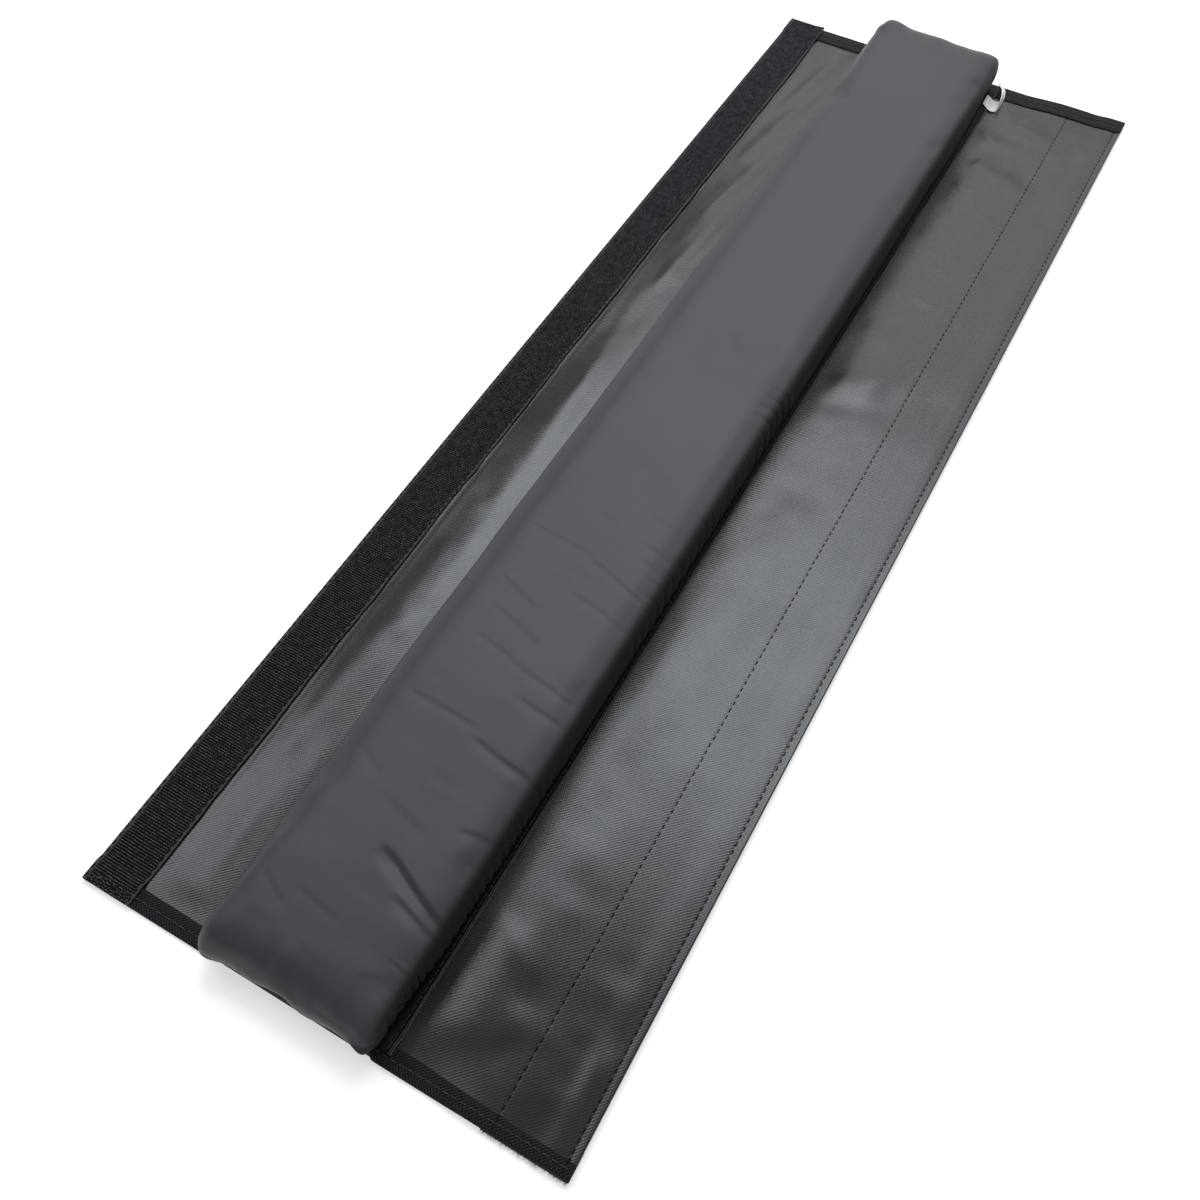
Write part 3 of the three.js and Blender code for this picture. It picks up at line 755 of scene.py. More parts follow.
def build_hooks(sizes, colours):
    """Rows of bent hooks on the tape. A hook is a three-sided stem with a bent-over tip: six corners
    round the stem and one at the tip. The rows follow the pitch along y and wander softly, and the last
    rows at the near end are flattened."""
    rng = np.random.RandomState(31)
    rows = np.arange(-END + FIRST_HOOK_ROW, END - 0.6, sizes.hook_pitch)
    left = HOOK_LEFT + SELVAGE_WIDTH + 0.5
    right = HOOK_RIGHT - SELVAGE_WIDTH - 0.5
    places = np.linspace(left, right, HOOKS_IN_A_ROW)
    x, y = [a.ravel() for a in np.meshgrid(places, rows)]
    crushed = smooth((-y - (END - CRUSHED_ROWS)) / 3)
    y = y + 0.1 * lattice_noise(x / 7, y / 9, 32) + rng.uniform(-0.05, 0.05, x.size) * (1 + 8 * crushed)
    x = x + rng.uniform(-0.16, 0.16, x.size) * (1 + 2 * crushed)
    base = hook_base(x, y) + HOOK_GROUND - 0.05
    height = HOOK_HEIGHT * rng.uniform(0.85, 1.1, x.size) * (1 - 0.35 * crushed)
    turn = rng.uniform(-0.4, 0.4, x.size) + math.pi * (rng.uniform(size=x.size) > 0.5)
    turn = turn + 2 * crushed * rng.uniform(-1, 1, x.size)
    lean = np.stack([np.cos(turn), 0.35 * np.sin(turn)], -1)
    corner = np.radians([90, 210, 330])
    ring = np.stack([HOOK_HALF_WIDTH * np.cos(corner), HOOK_HALF_DEPTH * np.sin(corner)], -1)
    centre = np.stack([x, y], -1)
    low_z = np.broadcast_to(base[:, None, None], (x.size, 3, 1))
    low = np.concatenate([centre[:, None, :] + ring, low_z], -1)
    bent = centre + 0.18 * lean
    top_z = np.broadcast_to((base + height)[:, None, None], (x.size, 3, 1))
    high = np.concatenate([bent[:, None, :] + 0.8 * ring, top_z], -1)
    tip = np.concatenate([centre + 0.62 * lean, (base + 0.72 * height)[:, None]], -1)[:, None, :]
    points = np.concatenate([low, high, tip], 1).reshape(-1, 3)
    stem = [(0, 1, 4), (0, 4, 3), (1, 2, 5), (1, 5, 4), (2, 0, 3), (2, 3, 5)]
    ends = [(3, 4, 6), (4, 5, 6), (5, 3, 6), (2, 1, 0)]
    faces = (np.array(stem + ends)[None] + 7 * np.arange(x.size)[:, None, None]).reshape(-1, 3)
    mesh = new_mesh("hook_rows", points, faces, even=False)
    return new_piece(mesh, hook_nylon(colours.hooks))


def build_loop_tape(sizes, colours):
    """Loop tape under the right flap: a strip whose top follows the cover and whose pile is uneven."""
    ys = np.linspace(-END, END, 285)

    def outline(y):
        low_x = np.linspace(LOOP_LEFT, LOOP_RIGHT, 20)[None, :] + 0 * y
        top_x = low_x[:, ::-1]
        over = smooth((np.abs(y) - binding_inner(y) + 1) / 1.5)
        relief_low = np.maximum(cover_relief(low_x, y, sizes.wave_height), 0)
        relief_top = np.maximum(cover_relief(top_x, y, sizes.wave_height), 0)
        pile = 0.12 * (1 + lattice_noise(low_x / 1.3, y / 1.3, 41))
        low_z = relief_low + pile * (1 - 0.4 * over)
        top_z = LOOP_THICKNESS - 0.02 - BINDING_THICKNESS * over + relief_top
        return np.concatenate([low_x, top_x], 1), np.concatenate([low_z, top_z], 1)

    mesh = strip_between("loop_tape", outline, ys)
    return new_piece(mesh, loop_pile(colours.loops), ["loop_strip"])


def curved_fibres(name, roots, directions, lengths, radius, seed, steps=3):
    """Thin loose fibres. Each is a three-sided strip along a path that starts at its root, runs along its
    direction and bends by a random amount, ending in a point."""
    rng = np.random.RandomState(seed)
    count = len(roots)
    bend = rng.uniform(-1, 1, (count, 3)) * lengths[:, None]
    share = np.linspace(0, 1, steps + 1)[None, :, None]
    path = roots[:, None, :] + directions[:, None, :] * lengths[:, None, None] * share
    path = path + bend[:, None, :] * 0.6 * share ** 2
    path[..., 2] = np.maximum(path[..., 2], 0.15)
    corner = np.radians([90, 210, 330])
    side = np.stack([np.cos(corner), np.sin(corner), np.zeros(3)], -1)
    aside = np.cross(directions, [0, 0, 1.0])
    aside = aside / np.linalg.norm(aside, axis=1, keepdims=True)
    up = np.cross(aside, directions)
    ring = aside[:, None, :] * side[None, :, :1] + up[:, None, :] * side[None, :, 1:2]
    thick = radius * (1 - 0.5 * share[:, :-1])
    body = path[:, :-1, None, :] + ring[:, None, :, :] * thick[..., None]
    points = np.concatenate([body.reshape(count, -1, 3), path[:, -1:, :]], 1)
    one = []
    for step in range(steps - 1):
        for i in range(3):
            a, b = 3 * step + i, 3 * step + (i + 1) % 3
            one += [(a, b, b + 3), (a, b + 3, a + 3)]
    last = 3 * (steps - 1)
    one += [(last + i, last + (i + 1) % 3, 3 * steps) for i in range(3)] + [(2, 1, 0)]
    faces = (np.array(one)[None] + points.shape[1] * np.arange(count)[:, None, None]).reshape(-1, 3)
    return new_mesh(name, points.reshape(-1, 3), faces, even=False)


def build_loop_fuzz(sizes, colours):
    """Loose fibres of the loop tape, which show past its ends and along its outer edge."""
    rng = np.random.RandomState(51)

    def along_end(sign, count, low, high):
        x = rng.uniform(LOOP_LEFT, LOOP_RIGHT, count)
        roots = np.stack([x, np.full(count, sign * (END - 0.3)), rng.uniform(0.2, 1.4, count)], -1)
        aside = rng.uniform(-0.7, 0.7, count)
        directions = np.stack([aside, np.full(count, sign), rng.uniform(-0.3, 0.5, count)], -1)
        return roots, directions, rng.uniform(low, high, count)

    near = along_end(-1, 520, 0.4, sizes.fibre_length)
    far = along_end(1, 160, 0.3, 0.6 * sizes.fibre_length)
    count = 400
    y = rng.uniform(-END + 1, END - 1, count)
    roots = np.stack([np.full(count, LOOP_RIGHT - 0.2), y, rng.uniform(0.2, 1.8, count)], -1)
    along = rng.uniform(-0.9, 0.9, count)
    directions = np.stack([np.ones(count), along, rng.uniform(-0.3, 0.3, count)], -1)
    edge = roots, directions, rng.uniform(0.3, 0.35 * sizes.fibre_length, count)
    roots, directions, lengths = [np.concatenate(group) for group in zip(near, far, edge)]
    directions = directions / np.linalg.norm(directions, axis=1, keepdims=True)
    mesh = curved_fibres("loop_fuzz", roots, directions, lengths, 0.045, 52)
    return new_piece(mesh, loop_pile(colours.loops))


def binding_wobble(x, seed):
    """How far the inner edge of a binding wanders at x, in millimetres."""
    return 0.45 * lattice_noise(x / 22, 0.5, seed) + 0.18 * lattice_noise(x / 7, 0.5, seed + 1)


def build_binding(side, colours):
    """Binding tape folded round one end: a U section that is carried across the pad and follows the
    cover. Its upper leg is narrower at the near end, as the tape is folded unevenly there."""
    width = NEAR_BINDING_WIDTH if side < 0 else FAR_BINDING_WIDTH
    low_width = BINDING_TAPE_WIDTH - width
    xs = np.linspace(LEFT_EDGE, RIGHT_EDGE, 150)[:, None]
    seed = 61 if side < 0 else 71
    top = topside_z(xs)
    low = underside_z(xs)
    slant = -2.2 * smooth((xs - 30) / 90) if side < 0 else 0 * xs
    inner = END - width - slant + binding_wobble(xs, seed)
    under = END - low_width + binding_wobble(xs, seed + 4)
    rise = BINDING_THICKNESS + 0.12 * lattice_noise(xs / 9, 0.5, seed + 6)
    wall = END + 0.15 * lattice_noise(xs / 8, 0.5, seed + 2)
    half = (top + rise - low + BINDING_THICKNESS) / 2
    middle = (top + rise + low - BINDING_THICKNESS) / 2
    angles = np.radians(np.arange(75, -76, -15))[None, :]
    nose_y = wall - 1.2 + 1.2 * np.cos(angles)
    nose_z = middle + half * np.sin(angles)
    top_y = inner + (wall - 1.2 - inner) * np.array([[0.0, 0.02, 0.06, 0.3, 0.55, 0.8, 1.0]])
    edge = np.array([[0.35, 0.75, 1.0, 1.0, 1.0, 1.0, 1.0]])
    top_z = top + rise * edge
    low_y = wall - 1.2 - (wall - 1.2 - under) * np.array([[0.0, 0.4, 0.8, 1.0]])
    low_z = low - BINDING_THICKNESS + 0 * low_y
    inside_y = np.concatenate([under, 0 * xs + COVER_END + 0.02, 0 * xs + COVER_END + 0.02, inner], 1)
    inside_z = np.concatenate([low - 0.02, low - 0.02, top + 0.02, top + 0.02], 1)
    y = np.concatenate([top_y, nose_y, low_y, inside_y], 1)
    z = np.concatenate([top_z, nose_z, low_z, inside_z], 1)
    x = np.broadcast_to(xs, y.shape)
    points = np.stack([x, side * y + end_draw(x, side * y, NEAR_DRAW), z], -1)
    steps = np.linalg.norm(np.diff(points[..., 1:], axis=1), axis=-1)
    across = np.concatenate([np.zeros((len(xs), 1)), np.cumsum(steps, 1)], 1)
    cloth = np.stack([x, across, np.zeros_like(x)], -1).reshape(-1, 3)
    name = "near" if side < 0 else "far"
    mesh = section_mesh("binding_" + name, points.reshape(-1, 3), y.shape[1], cloth, 45, turned=side > 0)
    return new_piece(mesh, herringbone_tape(colours.binding), ["end_binding_" + name])


def padding_section(angle, y, inset):
    """Outline of the padding at y for angles round it: a rounded box whose right and left top corners
    are wider than the bottom ones. Its ends are rounded and drawn in."""
    past = clamp01((np.abs(y) - (END - ROUND_END)) / (ROUND_END - inset))
    round_end = 1 - np.sqrt(np.maximum(0, 1 - past ** 2))
    x0 = PAD_LEFT + inset + 2.5 * round_end
    x1 = PAD_RIGHT - inset - 2.5 * round_end
    z0 = COVER_TOP + lift_z(y) + inset + 5 * round_end
    z1 = PAD_TOP - inset - 11 * round_end
    power_x = 0.18
    power_z = 0.26
    c = np.cos(angle)
    s = np.sin(angle)
    x = (x0 + x1) / 2 + (x1 - x0) / 2 * np.sign(c) * np.abs(c) ** power_x
    z = (z0 + z1) / 2 + (z1 - z0) / 2 * np.sign(s) * np.abs(s) ** power_z
    return x, z


def padding_start(inset):
    """Closed start shape of the padding as points and faces."""
    ends = END - inset - ROUND_END * (1 - np.sin(np.radians(np.arange(0, 91, 10))))
    middle = np.linspace(-END + ROUND_END + 4, END - ROUND_END - 4, 120)
    ys = np.sort(np.concatenate([-ends[:-1], middle, ends[:-1]]))
    angles = np.linspace(0, 2 * math.pi, 96, endpoint=False) + 0.01
    x, z = padding_section(angles[None, :], ys[:, None], inset)
    points = np.stack([x, np.broadcast_to(ys[:, None], x.shape), z], -1).reshape(-1, 3)
    return points, outward(points, tube_faces(len(ys), len(angles)))


def evaluated_mesh(piece):
    """The piece's mesh with its modifiers applied, as a new mesh."""
    graph = bpy.context.evaluated_depsgraph_get()
    return bpy.data.meshes.new_from_object(piece.evaluated_get(graph), depsgraph=graph)


def fitted(points):
    """The pressure draws the padding's sides in and lifts its top. Each slice along y is stretched back
    in a straight line to the width between the seams, which is a little less at the ends, and its height
    is scaled to stay under the top."""
    x, y, z = points.T
    places = np.linspace(-END + 12, END - 12, 45)
    near = np.abs(y[None, :] - places[:, None]) < 9
    low = np.interp(y, places, np.where(near, x, np.inf).min(1))
    high = np.interp(y, places, np.where(near, x, -np.inf).max(1))
    top = np.interp(y, places, np.where(near, z, -np.inf).max(1))
    middle = smooth((END - np.abs(y)) / 60)
    left = PAD_LEFT + 1.7 - 0.9 * middle
    right = PAD_RIGHT - 3.0 + 2.8 * middle
    squeeze = (PAD_TOP - 0.5 - COVER_TOP) / (np.maximum(top, PAD_TOP - 0.5) - COVER_TOP)
    wide = left + (x - low) * (right - left) / (high - low)
    return np.stack([wide, y, COVER_TOP + (z - COVER_TOP) * squeeze], -1)


def inflated_padding(sizes):
    """Padding swollen by cloth simulation: the start shape is remeshed, blown up with pressure and no
    gravity, and no point travels further than the cap. It rests on the cover."""
    points, faces = padding_start(START_INSET)
    work = bpy.data.objects.new("padding_work", new_mesh("padding_work", points, faces))
    bpy.context.scene.collection.objects.link(work)
    remesh = work.modifiers.new("Remesh", "REMESH")
    remesh.mode = "VOXEL"
    remesh.voxel_size = START_MESH * MM
    work.data = evaluated_mesh(work)
    work.modifiers.clear()
    start = read_points(work.data, "co") / MM
    moved = start
    cloth = work.modifiers.new("Cloth", "CLOTH")
    cloth.settings.quality = 5
    cloth.settings.mass = 0.3
    cloth.settings.tension_stiffness = 15
    cloth.settings.compression_stiffness = 15
    cloth.settings.shear_stiffness = 5
    cloth.settings.bending_stiffness = 0.4
    cloth.settings.use_pressure = True
    cloth.settings.uniform_pressure_force = 4
    cloth.settings.shrink_min = -0.02
    cloth.settings.effector_weights.gravity = 0
    for step in range(1, SIMULATED_FRAMES + 1):
        bpy.context.scene.frame_set(step)
    travel = read_points(evaluated_mesh(work), "co") / MM - start
    distance = np.linalg.norm(travel, axis=1, keepdims=True)
    moved = start + travel * np.minimum(1, sizes.swell / np.maximum(distance, 1e-6))
    bpy.context.scene.frame_set(1)
    work.modifiers.clear()
    moved = fitted(moved)
    floor = COVER_TOP + 0.15 + lift_z(moved[:, 1])
    moved[:, 2] = np.maximum(moved[:, 2], floor)
    write_points(work.data, moved)
    work.data.update()
    finer = work.modifiers.new("Subdivision", "SUBSURF")
    finer.levels = 2
    finer.render_levels = 2
    mesh = evaluated_mesh(work)
    bpy.data.objects.remove(work)
    return mesh


def gather_phase(y):
    """Counts the puckers along the seam: the running sum of 1 / pitch, where the pitch is about 5.5 mm
    at the near end, 8 mm in the middle and 14 mm at the far end, and varies at random."""
    table = np.linspace(-370, 370, 2961)
    pitch = 5.5 + 2.5 * smooth((table + 230) / 90) + 6 * smooth((table - 60) / 120)
    pitch = pitch * (1 + 0.35 * lattice_noise(table / 19, 0.5, 81))
    return np.interp(y, table, np.cumsum(0.25 / pitch))


# Long faint wrinkles on the padding's top, as (start, end, half width, depth) in millimetres
PADDING_WRINKLES = (
    ((-46, -223), (3, -225), 1.0, 0.22),
    ((-6, -229), (33, -235), 1.0, 0.35),
    ((-31, -184), (-6, -188), 1.0, 0.18),
    ((-12, -189), (33, -196), 1.0, 0.22),
    ((-16, -99), (-1, -101), 1.0, 0.18),
    ((-49, -119), (-2, -123), 1.1, 0.18),
    ((-10, -123), (33, -135), 1.0, 0.26),
    ((-10, -287), (36, -306), 1.4, 1.3),
    ((6, -302), (36, -311), 1.1, 0.6),
    ((-31, -318), (-2, -323), 1.2, 0.12),
    ((-46, -318), (-26, -329), 1.2, 0.16),
    ((-44, -255), (-24, -263), 1.2, 0.16),
    ((2, -203), (33, -207), 1.0, 0.26),
    ((12, -104), (33, -109), 1.0, 0.26),
    ((14, -113), (33, -117), 1.0, 0.24),
    ((-6, -144), (33, -152), 1.0, 0.18),
    ((-40, -150), (-8, -163), 1.2, 0.18),
    ((-36, -166), (4, -178), 1.2, 0.16),
    ((-28, -60), (14, -68), 1.4, 0.16),
    ((-20, -84), (33, -92), 1.0, 0.16),
    ((0, -38), (33, -44), 1.1, 0.16),
    ((-12, 34), (12, 58), 6.0, 0.6),
    ((-24, -268), (8, -277), 1.6, 0.12),
    ((14, -268), (33, -264), 1.2, 0.25),
    ((12, -339), (30, -330), 2.0, 0.15),
    ((-20, -336), (4, -342), 1.8, 0.12),
)


def square_edge(points):
    """Pushes the padding's upper right edge outwards and up, where the foam's corner stands under the
    sleeve: a bell curve of the distance from the edge, along a fixed slant."""
    x, y, z = points.T
    away = np.hypot(x - (PAD_RIGHT - 2.5), z - (PAD_TOP - 3.0))
    push = 1.9 * bell(away / 5.5) * smooth((END - 4 - np.abs(y)) / 16)
    return points + push[:, None] * np.array([[0.75, 0.0, 0.45]])


def padding_relief(points, normals, sizes):
    """How far a point of the padding moves along its normal. Puckers run into the seam at the lower
    right: rounded lobes, 1 minus the absolute sine of the phase, that fade with the distance from the
    seam. Wrinkles are bell curves across lines on the top, gentle on the near side, and noise makes the
    whole slightly uneven. Both ends have lumps and puffed corners, and the near end has two tucks."""
    x, y, z = points.T
    height = z - COVER_TOP - lift_z(y)
    on_top = np.where(height > 18, np.maximum(0, PAD_RIGHT - 3 - x), 0)
    from_seam = np.minimum(height, 24) + on_top
    slant = 0.22 * from_seam * lattice_noise(y / 24, 3.5, 82)
    phase = gather_phase(y + slant)
    lobe = np.abs(np.sin(math.pi * phase))
    valley = (1 - lobe) ** 2.2
    reach = 30 + 15 * lattice_noise(phase * 0.61, 0.5, 83)
    strength = np.maximum(0.15, 0.6 + 0.8 * lattice_noise(phase * 0.23, 4.5, 90))
    fade = smooth(1.1 - from_seam / np.maximum(reach, 10))
    right_side = smooth((x - (PAD_RIGHT - 34)) / 10)
    busy = 0.22 + 0.78 * smooth((70 - y) / 60)
    rounded = smooth((END - 6 - np.abs(y)) / 8)
    relief = -sizes.pucker_depth * strength * valley * fade * right_side * busy * rounded
    relief = relief + 0.5 * fade * right_side * busy
    top = smooth((normals[:, 2] - 0.1) / 0.5)
    for start, end, width, depth in PADDING_WRINKLES:
        wander = 0.6 * lattice_noise(x / 14, y / 40, int(abs(start[1])))
        fold = top * depth * sizes.wrinkle_depth
        relief = relief - 1.3 * fold * crease(x, y + wander, start, end, 0.8 * width, 3.5)
    near_half = smooth((20 - y) / 80)
    crinkle = lattice_noise(x / 17 + 0.25 * y / 17, y / 4.5, 91) * lattice_noise(x / 30, y / 24, 92)
    relief = relief + 0.14 * top * near_half * crinkle
    uneven = 0.45 * lattice_noise(x / 38 + 5, y / 52, 84) + 0.10 * lattice_noise(x / 15, y / 9, 85)
    left_side = smooth((-normals[:, 0] - 0.3) / 0.4)
    faint = 0.35 * lattice_noise(z / 5, y / 38, 86)
    near_end = smooth((-y - (END - 22)) / 16)
    far_end = smooth((y - (END - 22)) / 16)
    lumps = 0.8 * lattice_noise(x / 13 + 2, z / 11, 87) + 0.35 * lattice_noise(x / 5, z / 7, 88)
    lumps = near_end * lumps
    lumps = lumps + far_end * 0.9 * lattice_noise(x / 10, z / 12, 89)
    tuck = near_end * 1.3 * crease(x, z, (-51, 17), (-36, 3), 1.6)
    tuck = tuck + near_end * 0.9 * crease(x, z, (22, 3), (12, 18), 2.0)
    puff = 1.8 * far_end * bell((x + 46) / 9) * bell((z - 24) / 9)
    puff = puff + near_end * (1.1 * bell((x + 48) / 7) + 0.5 * bell((x - 29) / 6))
    under = smooth((np.abs(normals[:, 2]) - 0.95) / 0.05) * (normals[:, 2] < 0)
    return (relief + uneven + left_side * faint + lumps - tuck + puff) * (1 - under)


def build_padding(sizes, colours):
    """The padded sleeve: simulated shape, squared along its upper right edge, then puckers and wrinkles
    along its normals, and its near end drawn in. The attribute panel marks where painted shade darkens its
    side beside the seam and its upper right edge."""
    mesh = inflated_padding(sizes)
    mesh.name = "padding_sleeve"
    points = read_points(mesh, "co") / MM
    normals = read_points(mesh, "normal")
    points = square_edge(points) + normals * padding_relief(points, normals, sizes)[:, None]
    points[:, 1] = points[:, 1] + end_draw(points[:, 0], points[:, 1], PADDING_DRAW)
    points[:, 2] = np.maximum(points[:, 2], COVER_TOP + 0.1 + lift_z(points[:, 1]))
    write_points(mesh, points)
    mesh.update()
    mesh.polygons.foreach_set("use_smooth", np.ones(len(mesh.polygons), dtype=bool))
    x, y, z = points.T
    from_middle = x - (PAD_LEFT + PAD_RIGHT) / 2
    around = np.sign(from_middle) * (np.abs(from_middle) + np.maximum(0, PAD_TOP - z))
    # Painted shade: the rounded upper right edge and the side wall beside the seam, which turn away from
    # the lamps, are marked for a near black colour
    upper = smooth((x - (PAD_RIGHT - 6.5)) / 5.5)
    lower = smooth((22 - z) / 6) * smooth((x - (PAD_RIGHT - 14)) / 6)
    cloth = np.stack([around, y, np.zeros(len(points))], -1)
    add_attributes(mesh, {"cloth": cloth, "panel": np.maximum(upper, lower)})
    piece = new_piece(mesh, nylon_taffeta(colours.sleeve), ["pad_sleeve"])
    return piece


def build_foam(colours):
    """Foam block inside the sleeve, on the same section with a larger inset."""
    mesh = new_mesh("foam_block", *padding_start(FOAM_BLOCK_INSET))
    piece = new_piece(mesh, packed_foam(colours.foam), ["foam_core"])
    return piece


def build_flange(colours):
    """The doubled edge of the sleeve beside the seam: two cloth layers, each a thin strip whose free
    edge ripples with the gathers and stands off the other."""
    ys = np.linspace(-SEAM_END - 1, SEAM_END + 1, 640)[:, None]
    phase = gather_phase(ys)
    share = np.concatenate([np.linspace(0, 0.8, 7), [0.88, 0.94, 1.0]])[None, :]
    points = []
    faces = []
    edges = []
    for level in (0, 1):
        ripple = np.sin(2 * math.pi * phase + level) * 0.5 + 0.5
        free = FLANGE_RIGHT - 0.6 * level + 0.3 * lattice_noise(ys / 9, level + 0.5, 91)
        start = PAD_RIGHT - 5
        x = start + (free - start) * share
        lift = smooth((x - SEAM_X) / 1.6) * (0.2 + 0.5 * level * ripple)
        z = COVER_TOP + lift_z(ys) + 0.06 + 0.55 * level + lift
        z = z - 0.25 * level * bell((x - SEAM_X) / 0.5)
        gx = np.concatenate([x, x[:, ::-1]], 1)
        gz = np.concatenate([z, z[:, ::-1] + 0.42], 1)
        layer = np.stack([gx, np.broadcast_to(ys, gx.shape), gz], -1).reshape(-1, 3)
        faces.append(outward(layer, tube_faces(len(ys), gx.shape[1])) + sum(len(made) for made in points))
        points.append(layer)
        # Marks the last 0.45 mm of the free edge for its painted highlight
        edges.append(smooth((gx - free + 0.45) / 0.3).ravel())
    points = np.concatenate(points)
    attributes = {"cloth": points, "edge": np.concatenate(edges)}
    mesh = new_mesh("sleeve_flange", points, np.concatenate(faces), attributes)
    mesh.set_sharp_from_angle(angle=math.radians(50))
    return new_piece(mesh, taffeta_edge(colours.flange, colours.flange_edge_highlight))


def stitches(name, path, ahead, up, sizes, slack=0.35, seed=5):
    """Single stitches in a row. path gives the middle of each stitch, ahead its direction and up the way
    out of the cloth. A stitch is a four-sided body along an arc that dips into the cloth at both ends:
    its height is a parabola of the share along it, and its thickness is thinner at the ends."""
    rng = np.random.RandomState(seed)
    count = len(path)
    share = np.array([-1, -0.8, -0.35, 0.35, 0.8, 1.0])
    length = sizes.stitch_pitch * 0.5 * 0.72 * rng.uniform(0.94, 1.03, count)
    aside = np.cross(ahead, up)
    drift = rng.uniform(-1, 1, count) * 0.12
    along = ahead[:, None, :] * (length[:, None] * share[None, :])[..., None]
    arch = up[:, None, :] * (slack * (1 - share ** 2) - 0.2 * np.abs(share) ** 3)[None, :, None]
    skew = aside[:, None, :] * (drift[:, None] + 0.06 * share[None, :])[..., None]
    middle = path[:, None, :] + along + arch + skew
    thick = sizes.thread_width / 2 * np.array([0.55, 0.85, 1.0, 1.0, 0.85, 0.55])
    corner = np.radians([45, 135, 225, 315])
    ring = aside[:, None, :] * np.cos(corner)[None, :, None]
    ring = ring + 0.8 * up[:, None, :] * np.sin(corner)[None, :, None]
    points = middle[:, :, None, :] + ring[:, None, :, :] * thick[None, :, None, None]
    points = points.reshape(count, -1, 3)
    one = []
    for row in range(len(share) - 1):
        for i in range(4):
            one.append((4 * row + i, 4 * row + (i + 1) % 4, 4 * row + 4 + (i + 1) % 4, 4 * row + 4 + i))
    one += [(3, 2, 1, 0), tuple(4 * (len(share) - 1) + i for i in range(4))]
    one = outward(points[0], np.array(one))
    faces = (one[None] + points.shape[1] * np.arange(count)[:, None, None]).reshape(-1, 4)
    tips = np.tile(np.repeat((np.abs(share) > 0.9).astype(float), 4), count)
    return new_mesh(name, points.reshape(-1, 3), faces, {"tip": tips})


def straight_row(x, heights, end, sizes):
    """Middles, directions and normals of the stitches of a row along the pad at x."""
    y = np.arange(-end + sizes.stitch_pitch / 2, end - sizes.stitch_pitch / 2, sizes.stitch_pitch)
    x = x + 0.12 * lattice_noise(y / 30, 0.5, 17)
    path = np.stack([x, y, heights(x, y)], -1)
    ahead = np.broadcast_to([0.0, 1.0, 0.0], path.shape)
    up = np.broadcast_to([0.0, 0.0, 1.0], path.shape)
    return path, ahead, up


def build_stitches(sizes, colours):
    """All stitch rows of the pad: two on the hook tape, one each on the hem, the loop tape's inner edge
    and the sleeve's seam, and one across each binding."""
    def over_cover(x, y):
        inner = binding_inner(y)
        return cover_surface(x, y, sizes) + BINDING_THICKNESS * smooth((np.abs(y) - inner + 0.8) / 1.2)

    def over_hook(x, y):
        return hook_base(x, y) + HOOK_GROUND + 0.22

    def over_flange(x, y):
        return COVER_TOP + lift_z(y) + 1.3 + 0 * x

    rows = (
        ("hem_stitches", HEM_ROW_X, over_cover, END - 0.5, "hem_thread"),
        ("loop_stitches", LOOP_ROW_X, over_cover, END - 0.5, "loop_thread"),
        ("hook_stitches_outer", HOOK_LEFT + 0.9, over_hook, END - 0.5, "hook_thread_outer"),
        ("hook_stitches_inner", HOOK_RIGHT - 0.95, over_hook, END - 0.5, "hook_thread_inner"),
        ("seam_stitches", SEAM_X, over_flange, SEAM_END, "sleeve_thread"),
    )
    thread = sewing_thread(colours.thread, colours.thread_glint)
    grey_thread = sewing_thread(colours.binding_thread, colours.thread_glint)
    made = []
    for name, x, heights, end, node in rows:
        path, ahead, up = straight_row(x, heights, end, sizes)
        mesh = stitches(name, path, ahead, up, sizes, slack=0.22)
        material = grey_thread if name == "seam_stitches" else thread
        made.append(new_piece(mesh, material, [node]))
    for side, end, width in ((-1, "near", NEAR_BINDING_WIDTH), (1, "far", FAR_BINDING_WIDTH)):
        x = np.arange(LEFT_EDGE + 2, RIGHT_EDGE - 2, sizes.stitch_pitch)
        row = side * (END - 0.45 * width + 0.35 * lattice_noise(x / 30, 0.5, 19))
        path = np.stack([x, row + end_draw(x, row, NEAR_DRAW), topside_z(x) + BINDING_THICKNESS + 0.06], -1)
        ahead = np.broadcast_to([1.0, 0.0, 0.0], path.shape)
        up = np.broadcast_to([0.0, 0.0, 1.0], path.shape)
        mesh = stitches("binding_stitches_" + end, path, ahead, up, sizes, slack=0.2, seed=7)
        made.append(new_piece(mesh, grey_thread, ["binding_thread_" + end]))
    return made


# Inner and outer edge of the blank label, from one end in the seam round to the other, in millimetres
LABEL_INNER = (
    (30.5, 340.5, 3.2), (32.6, 339.2, 3.2), (34.8, 336.4, 3.8), (37.0, 334.3, 4.6), (39.4, 332.3, 6.0),
    (41.0, 331.3, 7.5), (40.6, 334.6, 8.0), (39.0, 341.4, 7.0), (36.7, 348.7, 5.5), (33.0, 353.4, 4.0),
)
LABEL_OUTER = (
    (30.8, 330.0, 3.2), (33.0, 328.7, 3.0), (35.1, 327.0, 2.6), (37.9, 325.9, 2.4), (40.1, 326.7, 2.4),
    (41.4, 329.2, 2.4), (41.6, 335.2, 2.4), (41.2, 343.3, 2.5), (39.4, 351.5, 2.6), (33.2, 358.6, 3.0),
)


